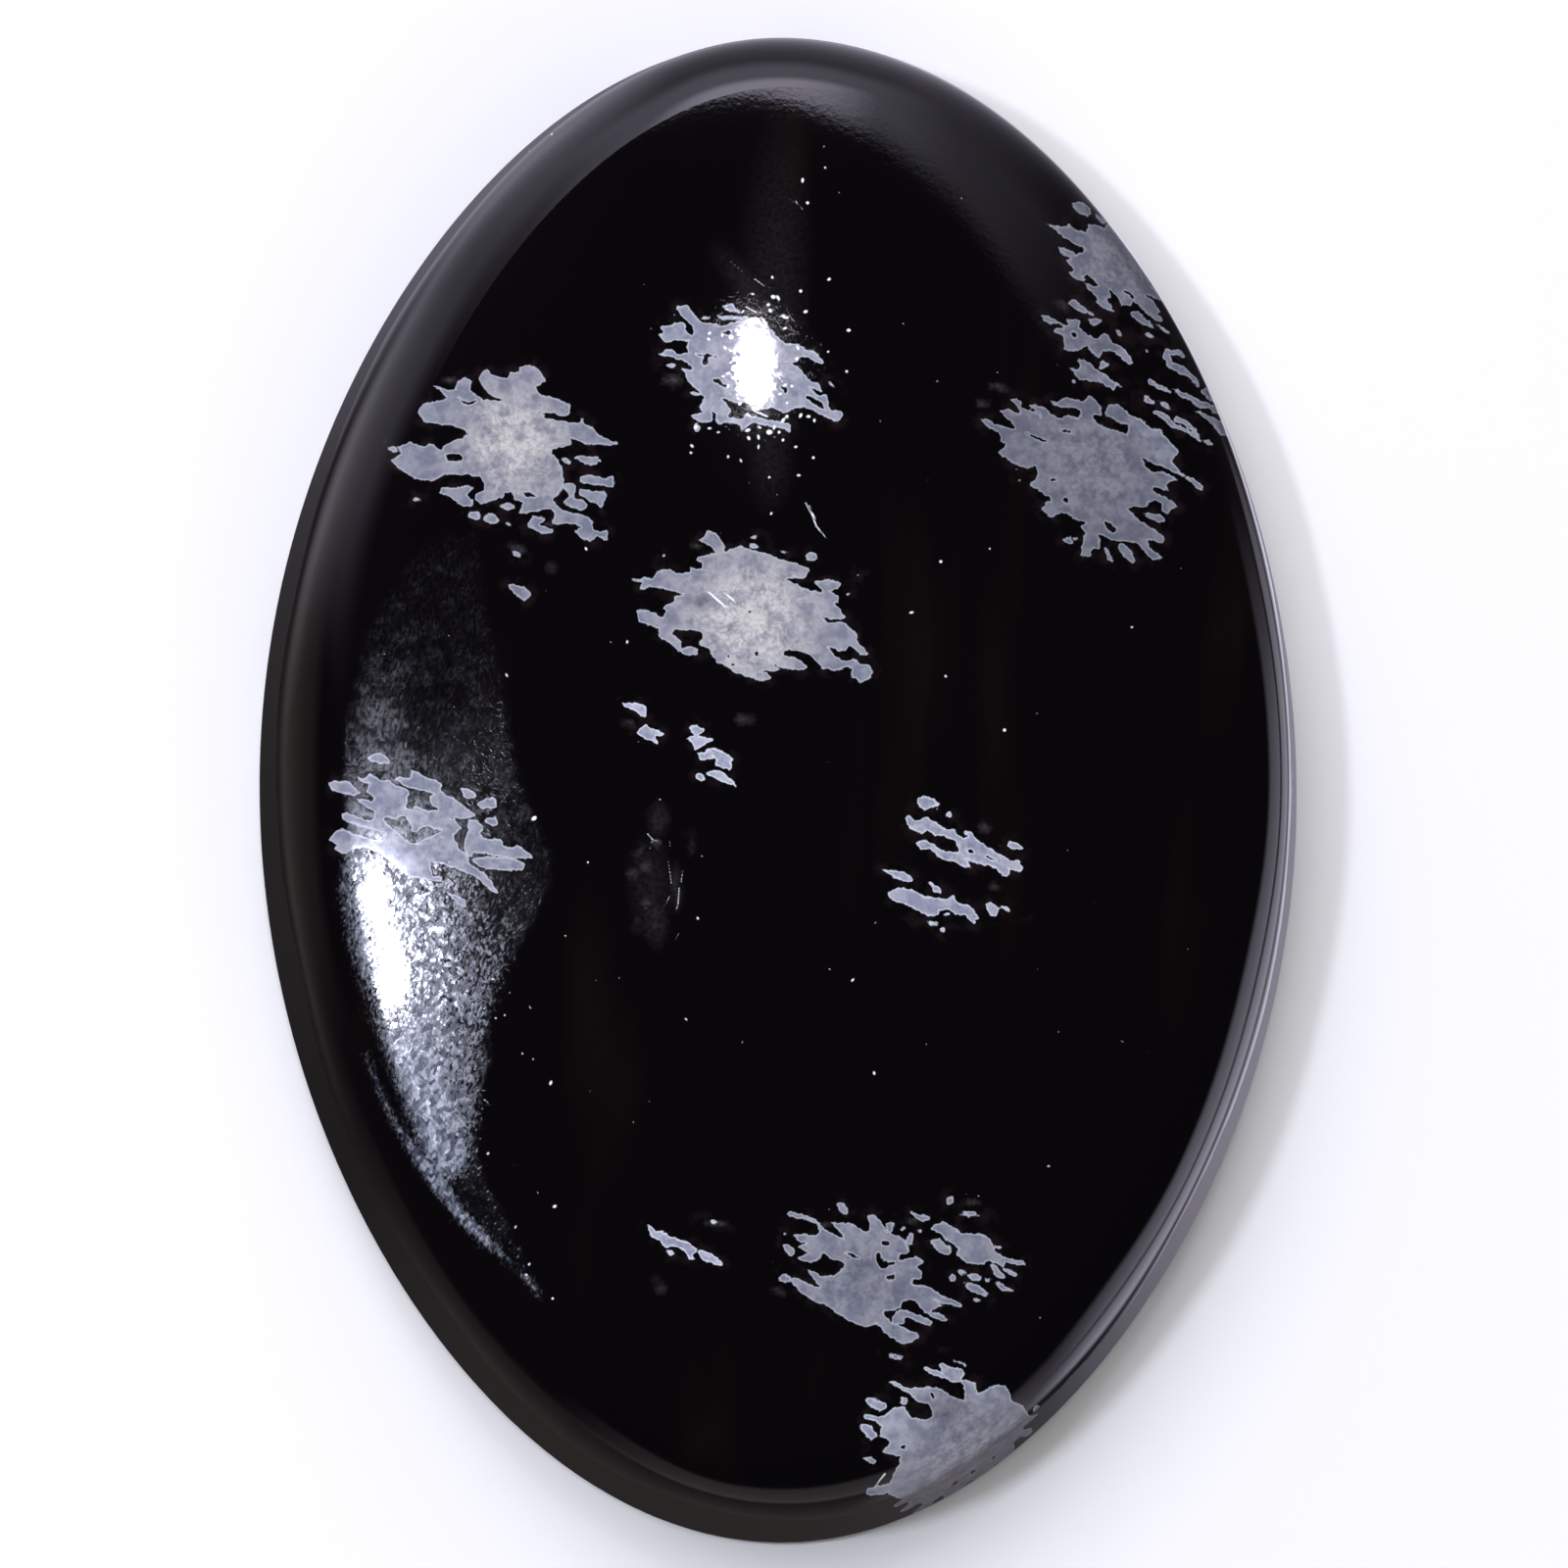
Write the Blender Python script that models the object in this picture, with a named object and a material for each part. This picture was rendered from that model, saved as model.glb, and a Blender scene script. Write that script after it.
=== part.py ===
"""Snowflake obsidian cabochon: one polished stone, an oval with a flat ground back and a low dome.

Metres, +Z up. The stone lies on its back, with the origin in the middle of that flat face.
+Y runs along its length and +X across its width.
"""

import math

import bpy

MM = 0.001

# Driving dimensions
LENGTH = 36.0 * MM
WIDTH = 24.65 * MM
HEIGHT = 6.0 * MM
BACK_BEVEL_WIDTH = 0.3 * MM  # the broken edge round the back, measured in from the outline
BACK_BEVEL_HEIGHT = 0.25 * MM
WALL_TOP = 2.3 * MM  # where the straight ground wall ends and the shoulder begins
WALL_DRAFT = math.radians(9.0)  # how far the wall leans in
SHOULDER_WIDTH = 1.9 * MM  # from the outline in to where the dome begins
DOME_DROP = 2.1 * MM  # how far the dome's curve falls between its top and the outline

# A hand-ground oval is a little flatter than an ellipse in each quarter, seen from above.
FLAT_UPPER_RIGHT = 0.008
FLAT_UPPER_LEFT = 0.021
FLAT_LOWER_LEFT = 0.017
FLAT_LOWER_RIGHT = 0.021

# How strongly the shoulder's curve follows the wall and the dome, as shares of its rise and width
SHOULDER_WALL_PULL = 0.62
SHOULDER_DOME_PULL = 0.55

# Mesh steps
SEGMENTS = 96
SHOULDER_STEPS = 9
DOME_STEPS = 13
SLOPE_STEP = 0.01 * MM  # the short run over which the dome's slope is measured

# Finish
GLASS_BLACK = (0.004, 0.0035, 0.005, 1.0)
POLISH_ROUGHNESS = 0.06
GLASS_IOR = 1.49


def clear_scene():
    for item in list(bpy.data.objects):
        bpy.data.objects.remove(item, do_unlink=True)


def quarter_flat(turn):
    """How much the quarter of the oval that this turn lies in is flattened, for a turn from +X."""
    flats = (FLAT_UPPER_RIGHT, FLAT_UPPER_LEFT, FLAT_LOWER_LEFT, FLAT_LOWER_RIGHT)
    return flats[int((turn % math.tau) // (math.pi / 2)) % len(flats)]


def outline_scale(turn):
    """The outline's size beside the true ellipse: 1 on both axes and least at each diagonal."""
    return 1.0 - quarter_flat(turn) * math.sin(2.0 * turn) ** 2


def outline_point(turn):
    scale = outline_scale(turn)
    return WIDTH / 2 * scale * math.cos(turn), LENGTH / 2 * scale * math.sin(turn)


def outline_normal(turn):
    """The outward direction of the outline, from the chord between two near points of it."""
    near = 0.001
    before_x, before_y = outline_point(turn - near)
    after_x, after_y = outline_point(turn + near)
    run_x, run_y = after_x - before_x, after_y - before_y
    length = math.hypot(run_x, run_y)
    return run_y / length, -run_x / length


def inset_point(turn, inset):
    """The outline's point at this turn, moved straight in."""
    x, y = outline_point(turn)
    normal_x, normal_y = outline_normal(turn)
    return x - normal_x * inset, y - normal_y * inset


def dome_height(x, y):
    across = x / (WIDTH / 2)
    along = y / (LENGTH / 2)
    reach = math.hypot(across, along) / outline_scale(math.atan2(along, across))
    return HEIGHT - DOME_DROP * reach**2


def dome_slope(turn):
    """How steeply the dome falls where it meets the shoulder, as rise over run."""
    inner = dome_height(*inset_point(turn, SHOULDER_WIDTH + SLOPE_STEP))
    outer = dome_height(*inset_point(turn, SHOULDER_WIDTH))
    return (inner - outer) / SLOPE_STEP


def bezier(a, b, c, d, share):
    rest = 1.0 - share
    return rest**3 * a + 3 * rest**2 * share * b + 3 * rest * share**2 * c + share**3 * d


def shoulder_point(turn, share):
    """A point of the rounded shoulder: share 0 is the wall's top and share 1 the dome's edge."""
    wall_inset = (WALL_TOP - BACK_BEVEL_HEIGHT) * math.tan(WALL_DRAFT)
    dome_edge = dome_height(*inset_point(turn, SHOULDER_WIDTH))
    wall_pull = SHOULDER_WALL_PULL * (dome_edge - WALL_TOP)
    dome_pull = SHOULDER_DOME_PULL * (SHOULDER_WIDTH - wall_inset)
    inset = bezier(
        wall_inset,
        wall_inset + wall_pull * math.tan(WALL_DRAFT),
        SHOULDER_WIDTH - dome_pull,
        SHOULDER_WIDTH,
        share,
    )
    height = bezier(
        WALL_TOP,
        WALL_TOP + wall_pull,
        dome_edge - dome_pull * dome_slope(turn),
        dome_edge,
        share,
    )
    x, y = inset_point(turn, inset)
    return x, y, height


def dome_point(turn, share):
    """A point of the dome: share 0 is the shoulder's inner edge and share 1 the top."""
    x, y = inset_point(turn, SHOULDER_WIDTH)
    x, y = x * (1.0 - share), y * (1.0 - share)
    return x, y, dome_height(x, y)


def surface_rings():
    """The stone's rings of points from the back's edge up to the last ring round the top."""
    turns = [math.tau * i / SEGMENTS for i in range(SEGMENTS)]
    rings = [
        [(*inset_point(turn, BACK_BEVEL_WIDTH), 0.0) for turn in turns],
        [(*outline_point(turn), BACK_BEVEL_HEIGHT) for turn in turns],
    ]
    for step in range(SHOULDER_STEPS + 1):
        rings.append([shoulder_point(turn, step / SHOULDER_STEPS) for turn in turns])
    for step in range(1, DOME_STEPS):
        rings.append([dome_point(turn, step / DOME_STEPS) for turn in turns])
    return rings


def ring_faces(ring_count):
    """Quads between neighbouring rings, triangles up to the top point and one face for the back."""
    faces = [tuple(reversed(range(SEGMENTS)))]
    for ring in range(ring_count - 1):
        for i in range(SEGMENTS):
            here = ring * SEGMENTS
            above = here + SEGMENTS
            beside = (i + 1) % SEGMENTS
            faces.append((here + i, here + beside, above + beside, above + i))
    last = (ring_count - 1) * SEGMENTS
    top = ring_count * SEGMENTS
    for i in range(SEGMENTS):
        faces.append((last + i, last + (i + 1) % SEGMENTS, top))
    return faces


def polished_glass():
    material = bpy.data.materials.new("obsidian")
    material.use_nodes = True
    shader = material.node_tree.nodes["Principled BSDF"]
    shader.inputs["Base Color"].default_value = GLASS_BLACK
    shader.inputs["Roughness"].default_value = POLISH_ROUGHNESS
    shader.inputs["Metallic"].default_value = 0.0
    shader.inputs["IOR"].default_value = GLASS_IOR
    return material


def make_cabochon():
    rings = surface_rings()
    points = [point for ring in rings for point in ring]
    points.append((0.0, 0.0, HEIGHT))
    mesh = bpy.data.meshes.new("cabochon")
    mesh.from_pydata(points, [], ring_faces(len(rings)))
    mesh.shade_smooth()
    mesh.set_sharp_from_angle(angle=math.radians(30.0))
    mesh.materials.append(polished_glass())
    stone = bpy.data.objects.new("cabochon", mesh)
    bpy.context.scene.collection.objects.link(stone)
    return stone


clear_scene()
make_cabochon()
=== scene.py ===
"""Looks of the snowflake obsidian cabochon: black volcanic glass with grey snowflakes, polished flush.

The stone's surface repeats the solid's formulas on a fine mesh. The snowflakes are drawn as outlines
in the photograph's own pixels (1600 by 1600) and laid on the surface through the camera, so each
vertex knows how deep inside a flake it lies. The material turns that depth into crisp colour.
"""

import math

import bpy
import numpy as np
from mathutils import Matrix, Vector
from mathutils.geometry import delaunay_2d_cdt


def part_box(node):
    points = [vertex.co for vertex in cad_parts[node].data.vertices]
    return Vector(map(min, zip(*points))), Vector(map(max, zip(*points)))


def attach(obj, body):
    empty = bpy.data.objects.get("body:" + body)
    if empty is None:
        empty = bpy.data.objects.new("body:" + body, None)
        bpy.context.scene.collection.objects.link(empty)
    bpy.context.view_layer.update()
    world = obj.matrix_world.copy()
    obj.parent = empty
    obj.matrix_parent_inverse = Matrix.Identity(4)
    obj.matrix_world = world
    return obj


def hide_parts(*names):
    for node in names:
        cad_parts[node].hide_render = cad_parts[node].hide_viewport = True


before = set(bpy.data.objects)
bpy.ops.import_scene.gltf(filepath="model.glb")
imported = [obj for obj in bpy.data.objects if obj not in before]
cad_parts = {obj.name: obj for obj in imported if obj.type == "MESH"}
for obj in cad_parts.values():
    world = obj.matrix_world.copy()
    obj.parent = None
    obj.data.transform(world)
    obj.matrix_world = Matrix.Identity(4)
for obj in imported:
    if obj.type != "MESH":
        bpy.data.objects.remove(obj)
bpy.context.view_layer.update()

MM = 0.001
LOW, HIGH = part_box("cabochon")

# The solid's sizes, repeated so that the fine surface lies where the solid's facets do
WIDTH = HIGH.x - LOW.x
LENGTH = HIGH.y - LOW.y
HEIGHT = HIGH.z - LOW.z
BACK_BEVEL_WIDTH = 0.3 * MM
BACK_BEVEL_HEIGHT = 0.25 * MM
WALL_TOP = 2.3 * MM
WALL_DRAFT = math.radians(9.0)
SHOULDER_WIDTH = 1.9 * MM
DOME_DROP = 2.1 * MM
QUARTER_FLATS = np.array([0.008, 0.021, 0.017, 0.021])
SHOULDER_WALL_PULL = 0.62
SHOULDER_DOME_PULL = 0.55

# The surface is laid out flat as a plan: the dome as seen from above, with the shoulder and the wall
# opened outwards round it. These are the widths that they take there.
SHOULDER_SPAN = 2.7 * MM
WALL_SPAN = (WALL_TOP - BACK_BEVEL_HEIGHT) / math.cos(WALL_DRAFT)
RIM_SPAN = SHOULDER_SPAN + WALL_SPAN

# Polishing by hand left the wall's top uneven: waves round the stone, with the turn of one crest
WAVES = ((11, 261.0, 0.20 * MM), (4, 100.0, 0.10 * MM), (23, 40.0, 0.03 * MM))

# Steps round the outline, for lengths along it and for the dome's edge
OUTLINE_STEPS = 14400
EDGE_STEPS = 2880

# The photograph's camera
PHOTO_SIZE = 1600
STONE_CENTRE_PIXEL = (795, 803)
MM_PER_PIXEL = 0.02324
CAMERA_DISTANCE = 0.413
VIEW_DIRECTION = Vector((-0.07, -0.15, 1.0)).normalized()
SENSOR_WIDTH = 36.0

# Mesh spacing, and how far from a marking's edge each spacing reaches, in photograph pixels
SPACINGS = ((0.036 * MM, 3.2), (0.11 * MM, 14.0), (0.21 * MM, 1000.0))
ROW_STEP = math.sqrt(0.75)  # from row to row of a triangular grid, as a share of its spacing
GIRDLE_POINTS = 512
JITTER = 0.06  # of the finest spacing
JITTER_SEED = 5
FAR = 30.0  # the greatest depth that a marking is measured to, in pixels

HIGHLIGHT_UPPER = (770, 372)
HIGHLIGHT_LEFT = (395, 957)

# The snowflakes. Each has closed outlines (bodies), holes in them (gaps), small islands as ellipses
# (specks: centre, half length, half width, tilt in degrees) and fine arms as lines (strokes: points
# with a half width). Pits are small holes, as ellipses. The core is the pale middle: centre, reach
# and strength, and then the whole flake's lightness.
SNOWFLAKES = {
    "upper_left": {
        "core": (525, 452, 48, 0.95, 0.82),
        "bodies": [
            [(426, 420), (434, 412), (456, 406), (442, 394), (459, 399), (465, 398), (467, 390),
             (472, 386), (481, 389), (481, 399), (493, 408), (513, 408), (498, 402), (488, 387),
             (491, 380), (496, 376), (501, 382), (517, 387), (520, 381), (529, 380), (530, 375),
             (541, 373), (551, 379), (556, 389), (547, 395), (551, 402), (582, 413), (577, 426),
             (557, 420), (556, 426), (588, 432), (593, 427), (597, 433), (605, 436), (612, 444),
             (629, 451), (623, 454), (600, 453), (582, 448), (582, 454), (564, 459), (564, 463),
             (569, 469), (576, 488), (570, 504), (564, 510), (574, 520), (601, 528), (607, 541),
             (620, 542), (619, 551), (610, 547), (603, 553), (586, 543), (593, 539), (587, 535),
             (564, 534), (566, 524), (559, 519), (542, 523), (530, 523), (534, 514), (526, 511),
             (523, 503), (514, 503), (512, 508), (491, 514), (485, 509), (486, 504), (494, 500),
             (490, 487), (459, 483), (441, 490), (423, 488), (414, 483), (399, 471), (401, 467),
             (410, 463), (406, 456), (418, 451), (430, 456), (441, 453), (450, 460), (457, 452),
             (478, 444), (466, 436), (443, 431), (434, 431)],
            [(448, 503), (453, 497), (469, 498), (476, 495), (483, 497), (477, 505), (483, 511),
             (482, 516), (475, 517), (466, 514), (458, 506)],
            [(539, 533), (543, 527), (551, 527), (557, 530), (550, 535), (563, 539), (562, 543),
             (554, 545), (540, 537)],
            [(574, 497), (578, 494), (585, 494), (588, 498), (584, 506), (598, 512), (598, 519),
             (591, 520), (574, 513), (580, 506)],
            [(593, 487), (601, 484), (619, 489), (625, 485), (627, 492), (625, 497), (612, 495),
             (593, 492)],
            [(592, 504), (593, 499), (614, 501), (619, 505), (614, 519), (608, 513), (602, 511)],
            [(587, 468), (594, 465), (610, 467), (610, 472), (601, 475)],
            [(518, 597), (526, 596), (535, 599), (541, 607), (535, 614), (526, 607)],
        ],
        "gaps": [
            [(455, 464), (467, 463), (472, 467), (469, 471), (456, 470)],
            [(534, 502), (541, 502), (548, 507), (538, 507)],
            [(467, 406), (477, 411), (485, 409), (485, 412), (474, 413)],
        ],
        "specks": [(401, 459, 5, 2.5, 20), (484, 526, 7, 4, 10), (501, 530, 7, 5, 15),
                   (518, 517, 7, 3, 10), (578, 471, 5, 3, 20), (425, 510, 3, 1.7, 10),
                   (527, 565, 4, 2.5, 35), (518, 534, 4, 1.5, 30)],
    },
    "under_highlight": {
        "core": (770, 380, 60, 0.15, 1.05),
        "bodies": [
            [(691, 313), (701, 312), (706, 318), (718, 329), (741, 332), (747, 329), (766, 325),
             (778, 329), (789, 338), (795, 346), (805, 352), (817, 352), (822, 356), (831, 358),
             (841, 369), (837, 370), (824, 364), (818, 364), (809, 371), (816, 376), (826, 387),
             (837, 392), (839, 400), (826, 396), (829, 400), (837, 404), (844, 403), (847, 417),
             (853, 418), (860, 423), (855, 431), (849, 429), (833, 421), (823, 416), (815, 415),
             (806, 419), (799, 421), (789, 415), (777, 417), (759, 410), (754, 412), (736, 406),
             (745, 419), (743, 425), (759, 427), (760, 422), (777, 427), (802, 432), (807, 435),
             (805, 441), (797, 437), (778, 434), (767, 431), (758, 439), (755, 433), (739, 431),
             (734, 433), (730, 429), (731, 423), (726, 421), (728, 427), (724, 430), (715, 431),
             (706, 425), (706, 423), (718, 421), (714, 418), (719, 404), (708, 404), (704, 401),
             (707, 399), (714, 401), (699, 386), (700, 380), (695, 376), (706, 377), (703, 371),
             (692, 367), (683, 364), (671, 361), (684, 356), (691, 361), (702, 360), (700, 354),
             (702, 348), (687, 347), (680, 350), (672, 342), (676, 339), (675, 333), (685, 332),
             (689, 329), (698, 330), (699, 336), (706, 343), (708, 339), (706, 332), (698, 325),
             (693, 319)],
            [(738, 313), (743, 310), (748, 310), (755, 318), (750, 318), (743, 316)],
            [(730, 321), (739, 323), (746, 321), (763, 323), (762, 326), (746, 325), (739, 327)],
        ],
        "gaps": [
            [(709, 361), (724, 362), (732, 364), (723, 365), (723, 371), (718, 372), (718, 364)],
            [(729, 386), (734, 387), (742, 395), (739, 396), (729, 389)],
            [(738, 339), (743, 337), (746, 340), (742, 341)],
            [(824, 403), (838, 410), (842, 417), (835, 415), (824, 406)],
            [(798, 394), (805, 398), (802, 401), (797, 397)],
        ],
        "specks": [(721, 324, 4, 2, 0), (685, 373, 4, 2, 5), (711, 436, 3, 4.5, 20),
                   (848, 392, 3.5, 1.6, 40), (800, 323, 4, 1.3, 30)],
    },
    "middle": {
        "core": (768, 632, 60, 1.0, 0.88),
        "bodies": [
            [(645, 591), (656, 590), (667, 589), (670, 583), (683, 581), (689, 585), (704, 584),
             (705, 579), (716, 581), (717, 574), (711, 572), (712, 568), (728, 565), (730, 562),
             (718, 554), (713, 552), (719, 547), (723, 541), (730, 544), (740, 556), (738, 562),
             (742, 562), (752, 557), (761, 560), (771, 562), (788, 566), (797, 571), (819, 577),
             (825, 581), (819, 590), (802, 591), (813, 597), (835, 605), (839, 604), (831, 595),
             (831, 593), (838, 593), (844, 590), (858, 596), (856, 601), (847, 604), (854, 608),
             (856, 614), (852, 617), (862, 629), (856, 632), (838, 630), (845, 635), (862, 636),
             (875, 648), (875, 655), (886, 666), (883, 668), (877, 667), (867, 659), (862, 664),
             (844, 661), (858, 673), (873, 673), (878, 677), (887, 679), (891, 686), (887, 692),
             (878, 697), (874, 692), (869, 692), (869, 683), (862, 681), (852, 684), (839, 682),
             (824, 667), (816, 665), (802, 664), (802, 669), (813, 672), (821, 677), (823, 682),
             (818, 684), (806, 683), (791, 678), (796, 683), (790, 685), (776, 685), (783, 688),
             (786, 692), (780, 695), (769, 692), (753, 688), (738, 678), (730, 676), (726, 667),
             (723, 662), (712, 657), (718, 650), (715, 645), (695, 642), (688, 643), (687, 648),
             (694, 654), (696, 661), (704, 659), (711, 662), (712, 667), (702, 668), (692, 664),
             (683, 655), (672, 650), (672, 642), (652, 634), (650, 623), (666, 624), (676, 630),
             (680, 624), (676, 620), (687, 614), (688, 609), (698, 606), (673, 600), (663, 599),
             (658, 602), (652, 601), (656, 595)],
        ],
        "gaps": [
            [(770, 667), (773, 665), (774, 669), (771, 670)],
        ],
        "pits": [(744, 669, 1.6, 1.4, 0), (749, 678, 1.8, 1.4, 0), (765, 624, 1.5, 1.2, 0)],
        "specks": [(800, 563, 3, 1.5, 15), (828, 568, 5, 4.5, 0), (769, 548, 3, 2, 0),
                   (769, 557, 4, 2.4, 10), (676, 567, 1.4, 1.4, 0), (876, 586, 2, 1.4, 0),
                   (866, 606, 1.4, 1.4, 0)],
    },
    "right": {
        "core": (1112, 472, 45, 0.16, 0.58),
        "bodies": [
            [(1000, 428), (1008, 428), (1020, 435), (1036, 438), (1034, 433), (1026, 426), (1021, 419),
             (1029, 417), (1041, 422), (1040, 418), (1031, 407), (1037, 406), (1042, 410), (1044, 416),
             (1058, 421), (1062, 426), (1056, 419), (1048, 413), (1054, 413), (1067, 417), (1072, 423),
             (1084, 427), (1086, 424), (1101, 427), (1102, 418), (1084, 415), (1076, 413), (1072, 409),
             (1078, 410), (1088, 406), (1104, 409), (1111, 403), (1116, 406), (1123, 415), (1124, 423),
             (1116, 424), (1117, 430), (1125, 435), (1139, 439), (1151, 444), (1152, 433), (1142, 432),
             (1137, 428), (1128, 423), (1131, 413), (1139, 412), (1146, 416), (1156, 425), (1165, 428),
             (1173, 435), (1183, 438), (1186, 444), (1194, 451), (1203, 462), (1199, 466), (1196, 472),
             (1202, 478), (1209, 485), (1222, 490), (1228, 496), (1224, 500), (1209, 487), (1200, 483),
             (1177, 472), (1166, 467), (1169, 475), (1176, 482), (1186, 481), (1201, 489), (1195, 491),
             (1189, 494), (1192, 501), (1176, 497), (1179, 502), (1196, 511), (1202, 517), (1194, 521),
             (1192, 524), (1186, 521), (1184, 514), (1179, 510), (1173, 511), (1169, 517), (1157, 517),
             (1151, 519), (1153, 522), (1166, 533), (1188, 547), (1186, 555), (1172, 551), (1173, 560),
             (1180, 564), (1186, 569), (1176, 571), (1160, 555), (1148, 553), (1133, 551), (1127, 546),
             (1121, 546), (1122, 560), (1114, 560), (1112, 567), (1103, 567), (1105, 548), (1108, 544),
             (1104, 537), (1107, 534), (1094, 528), (1088, 523), (1081, 523), (1073, 528), (1062, 520),
             (1066, 517), (1065, 513), (1072, 512), (1070, 507), (1051, 495), (1058, 488), (1059, 481),
             (1057, 475), (1049, 477), (1039, 475), (1023, 466), (1018, 461), (1026, 456), (1025, 452),
             (1020, 449), (1021, 445), (1008, 435)],
            [(1167, 525), (1173, 523), (1181, 524), (1188, 528), (1189, 532), (1183, 534), (1176, 531)],
            [(1141, 555), (1148, 557), (1156, 565), (1158, 573), (1154, 574), (1148, 568), (1142, 562)],
            [(1127, 559), (1130, 560), (1136, 573), (1130, 571)],
            [(1085, 550), (1093, 547), (1095, 552), (1093, 555), (1087, 553)],
        ],
        "gaps": [
            [(1046, 442), (1061, 447), (1067, 451), (1056, 448)],
            [(1083, 439), (1091, 439), (1093, 441), (1087, 442)],
            [(1073, 489), (1078, 488), (1079, 490), (1074, 491)],
            [(1084, 509), (1088, 508), (1090, 511), (1089, 515), (1085, 513)],
            [(1127, 532), (1133, 534), (1138, 539), (1137, 543), (1132, 542)],
        ],
        "specks": [(1172, 408, 6, 2, 35), (1188, 413, 6, 2, 40), (1040, 490, 1.3, 1.3, 0),
                   (1097, 550, 2, 1.5, 0)],
    },
    "upper_right": {
        "core": (1135, 270, 40, 0.12, 0.57),
        "bodies": [
            [(1068, 228), (1082, 231), (1088, 232), (1090, 228), (1094, 232), (1107, 237), (1110, 234),
             (1110, 229), (1123, 231), (1127, 233), (1131, 228), (1142, 238), (1152, 252), (1162, 266),
             (1168, 275), (1171, 285), (1176, 293), (1181, 301), (1186, 308), (1175, 303), (1169, 302),
             (1176, 307), (1184, 318), (1181, 320), (1186, 327), (1181, 328), (1169, 318), (1156, 307),
             (1153, 311), (1144, 311), (1141, 303), (1132, 296), (1134, 305), (1129, 306), (1138, 318),
             (1125, 313), (1118, 308), (1121, 306), (1110, 294), (1107, 289), (1119, 292), (1120, 290),
             (1111, 282), (1104, 287), (1093, 282), (1091, 279), (1096, 276), (1093, 271), (1088, 266),
             (1092, 264), (1081, 256), (1081, 252), (1092, 256), (1099, 260), (1107, 256), (1103, 253),
             (1092, 246), (1082, 240), (1079, 235)],
            [(1093, 209), (1100, 206), (1106, 207), (1112, 213), (1115, 218), (1108, 221), (1101, 218)],
            [(1118, 219), (1123, 221), (1128, 226), (1125, 228), (1120, 224)],
            [(1090, 309), (1096, 305), (1110, 317), (1107, 320), (1101, 317)],
            [(1110, 326), (1119, 325), (1125, 327), (1121, 331), (1115, 332)],
            [(1154, 318), (1161, 317), (1174, 329), (1178, 336), (1166, 331), (1160, 327)],
            [(1062, 322), (1068, 322), (1089, 333), (1089, 326), (1102, 327), (1101, 334), (1118, 345),
             (1125, 340), (1131, 342), (1134, 348), (1144, 354), (1152, 362), (1156, 371), (1149, 371),
             (1137, 359), (1126, 359), (1121, 365), (1109, 354), (1101, 357), (1086, 357), (1086, 345),
             (1082, 341), (1075, 338), (1077, 335), (1086, 336), (1081, 331), (1070, 330)],
            [(1100, 366), (1111, 369), (1116, 375), (1132, 385), (1145, 394), (1139, 393), (1136, 398),
             (1121, 389), (1109, 388), (1102, 387), (1091, 375), (1100, 377), (1102, 373)],
            [(1123, 370), (1126, 369), (1132, 372), (1126, 376), (1121, 376)],
        ],
        "gaps": [
            [(1105, 283), (1111, 281), (1119, 290), (1117, 292), (1110, 289)],
            [(1147, 296), (1157, 302), (1156, 304), (1148, 299)],
            [(1093, 339), (1097, 339), (1098, 344), (1095, 344)],
        ],
        "specks": [(1113, 320, 3.2, 1.5, 35), (1187, 336, 6.6, 1.4, 35), (1172, 342, 4.8, 2.2, 25),
                   (1142, 340, 4.6, 1.8, 45), (1170, 358, 1.5, 1.5, 0), (1096, 389, 2.3, 2.3, 0)],
    },
    "right_edge": {
        "core": (1210, 410, 30, 0.0, 0.75),
        "bodies": [
            [(1197, 397), (1203, 398), (1208, 401), (1213, 401), (1222, 407), (1236, 413), (1242, 418),
             (1246, 424), (1237, 420), (1233, 417), (1222, 416), (1215, 408), (1205, 405)],
            [(1219, 420), (1224, 420), (1233, 423), (1246, 430), (1250, 433), (1253, 446), (1246, 444),
             (1238, 435), (1229, 427)],
            [(1226, 399), (1230, 396), (1234, 400), (1240, 412), (1236, 410), (1231, 406)],
        ],
        "strokes": [
            [(1188, 365, 2.5), (1191, 360, 3), (1201, 359, 2.5), (1207, 363, 2)],
            [(1191, 365, 3), (1194, 373, 3.5), (1204, 377, 4), (1212, 381, 3), (1223, 393, 1.5)],
            [(1173, 390, 2), (1186, 395, 2.2), (1194, 400, 1)],
            [(1178, 420, 2), (1188, 424, 3), (1193, 431, 3), (1205, 437, 2), (1216, 443, 2),
             (1224, 449, 1)],
            [(1201, 428, 2.5), (1211, 432, 3), (1217, 438, 2), (1223, 446, 1)],
        ],
        "specks": [(1171, 408, 5, 2.5, 30), (1189, 414, 4.5, 2.6, 25), (1233, 451, 5, 1.8, 25)],
    },
    "left": {
        "core": (420, 845, 40, 0.05, 1.04),
        "bodies": [
            [(365, 792), (371, 795), (378, 790), (388, 796), (398, 797), (404, 803), (412, 803),
             (418, 808), (415, 818), (414, 824), (420, 826), (424, 822), (433, 826), (447, 827),
             (441, 820), (438, 813), (442, 810), (433, 807), (417, 803), (403, 796), (408, 792),
             (418, 794), (421, 789), (419, 785), (426, 788), (436, 793), (450, 799), (451, 808),
             (463, 815), (485, 832), (474, 836), (463, 835), (470, 846), (462, 852), (469, 867),
             (477, 872), (479, 881), (493, 891), (500, 898), (508, 910), (501, 908), (483, 893),
             (461, 885), (439, 879), (443, 893), (451, 895), (447, 900), (422, 895), (412, 891),
             (390, 872), (371, 864), (361, 866), (352, 872), (342, 866), (345, 862), (336, 856),
             (342, 849), (349, 845), (359, 850), (389, 858), (392, 850), (361, 841), (351, 836),
             (349, 829), (356, 830), (374, 837), (380, 836), (381, 828), (370, 821), (362, 814),
             (378, 818), (381, 814), (373, 809), (377, 800), (369, 798)],
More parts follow.
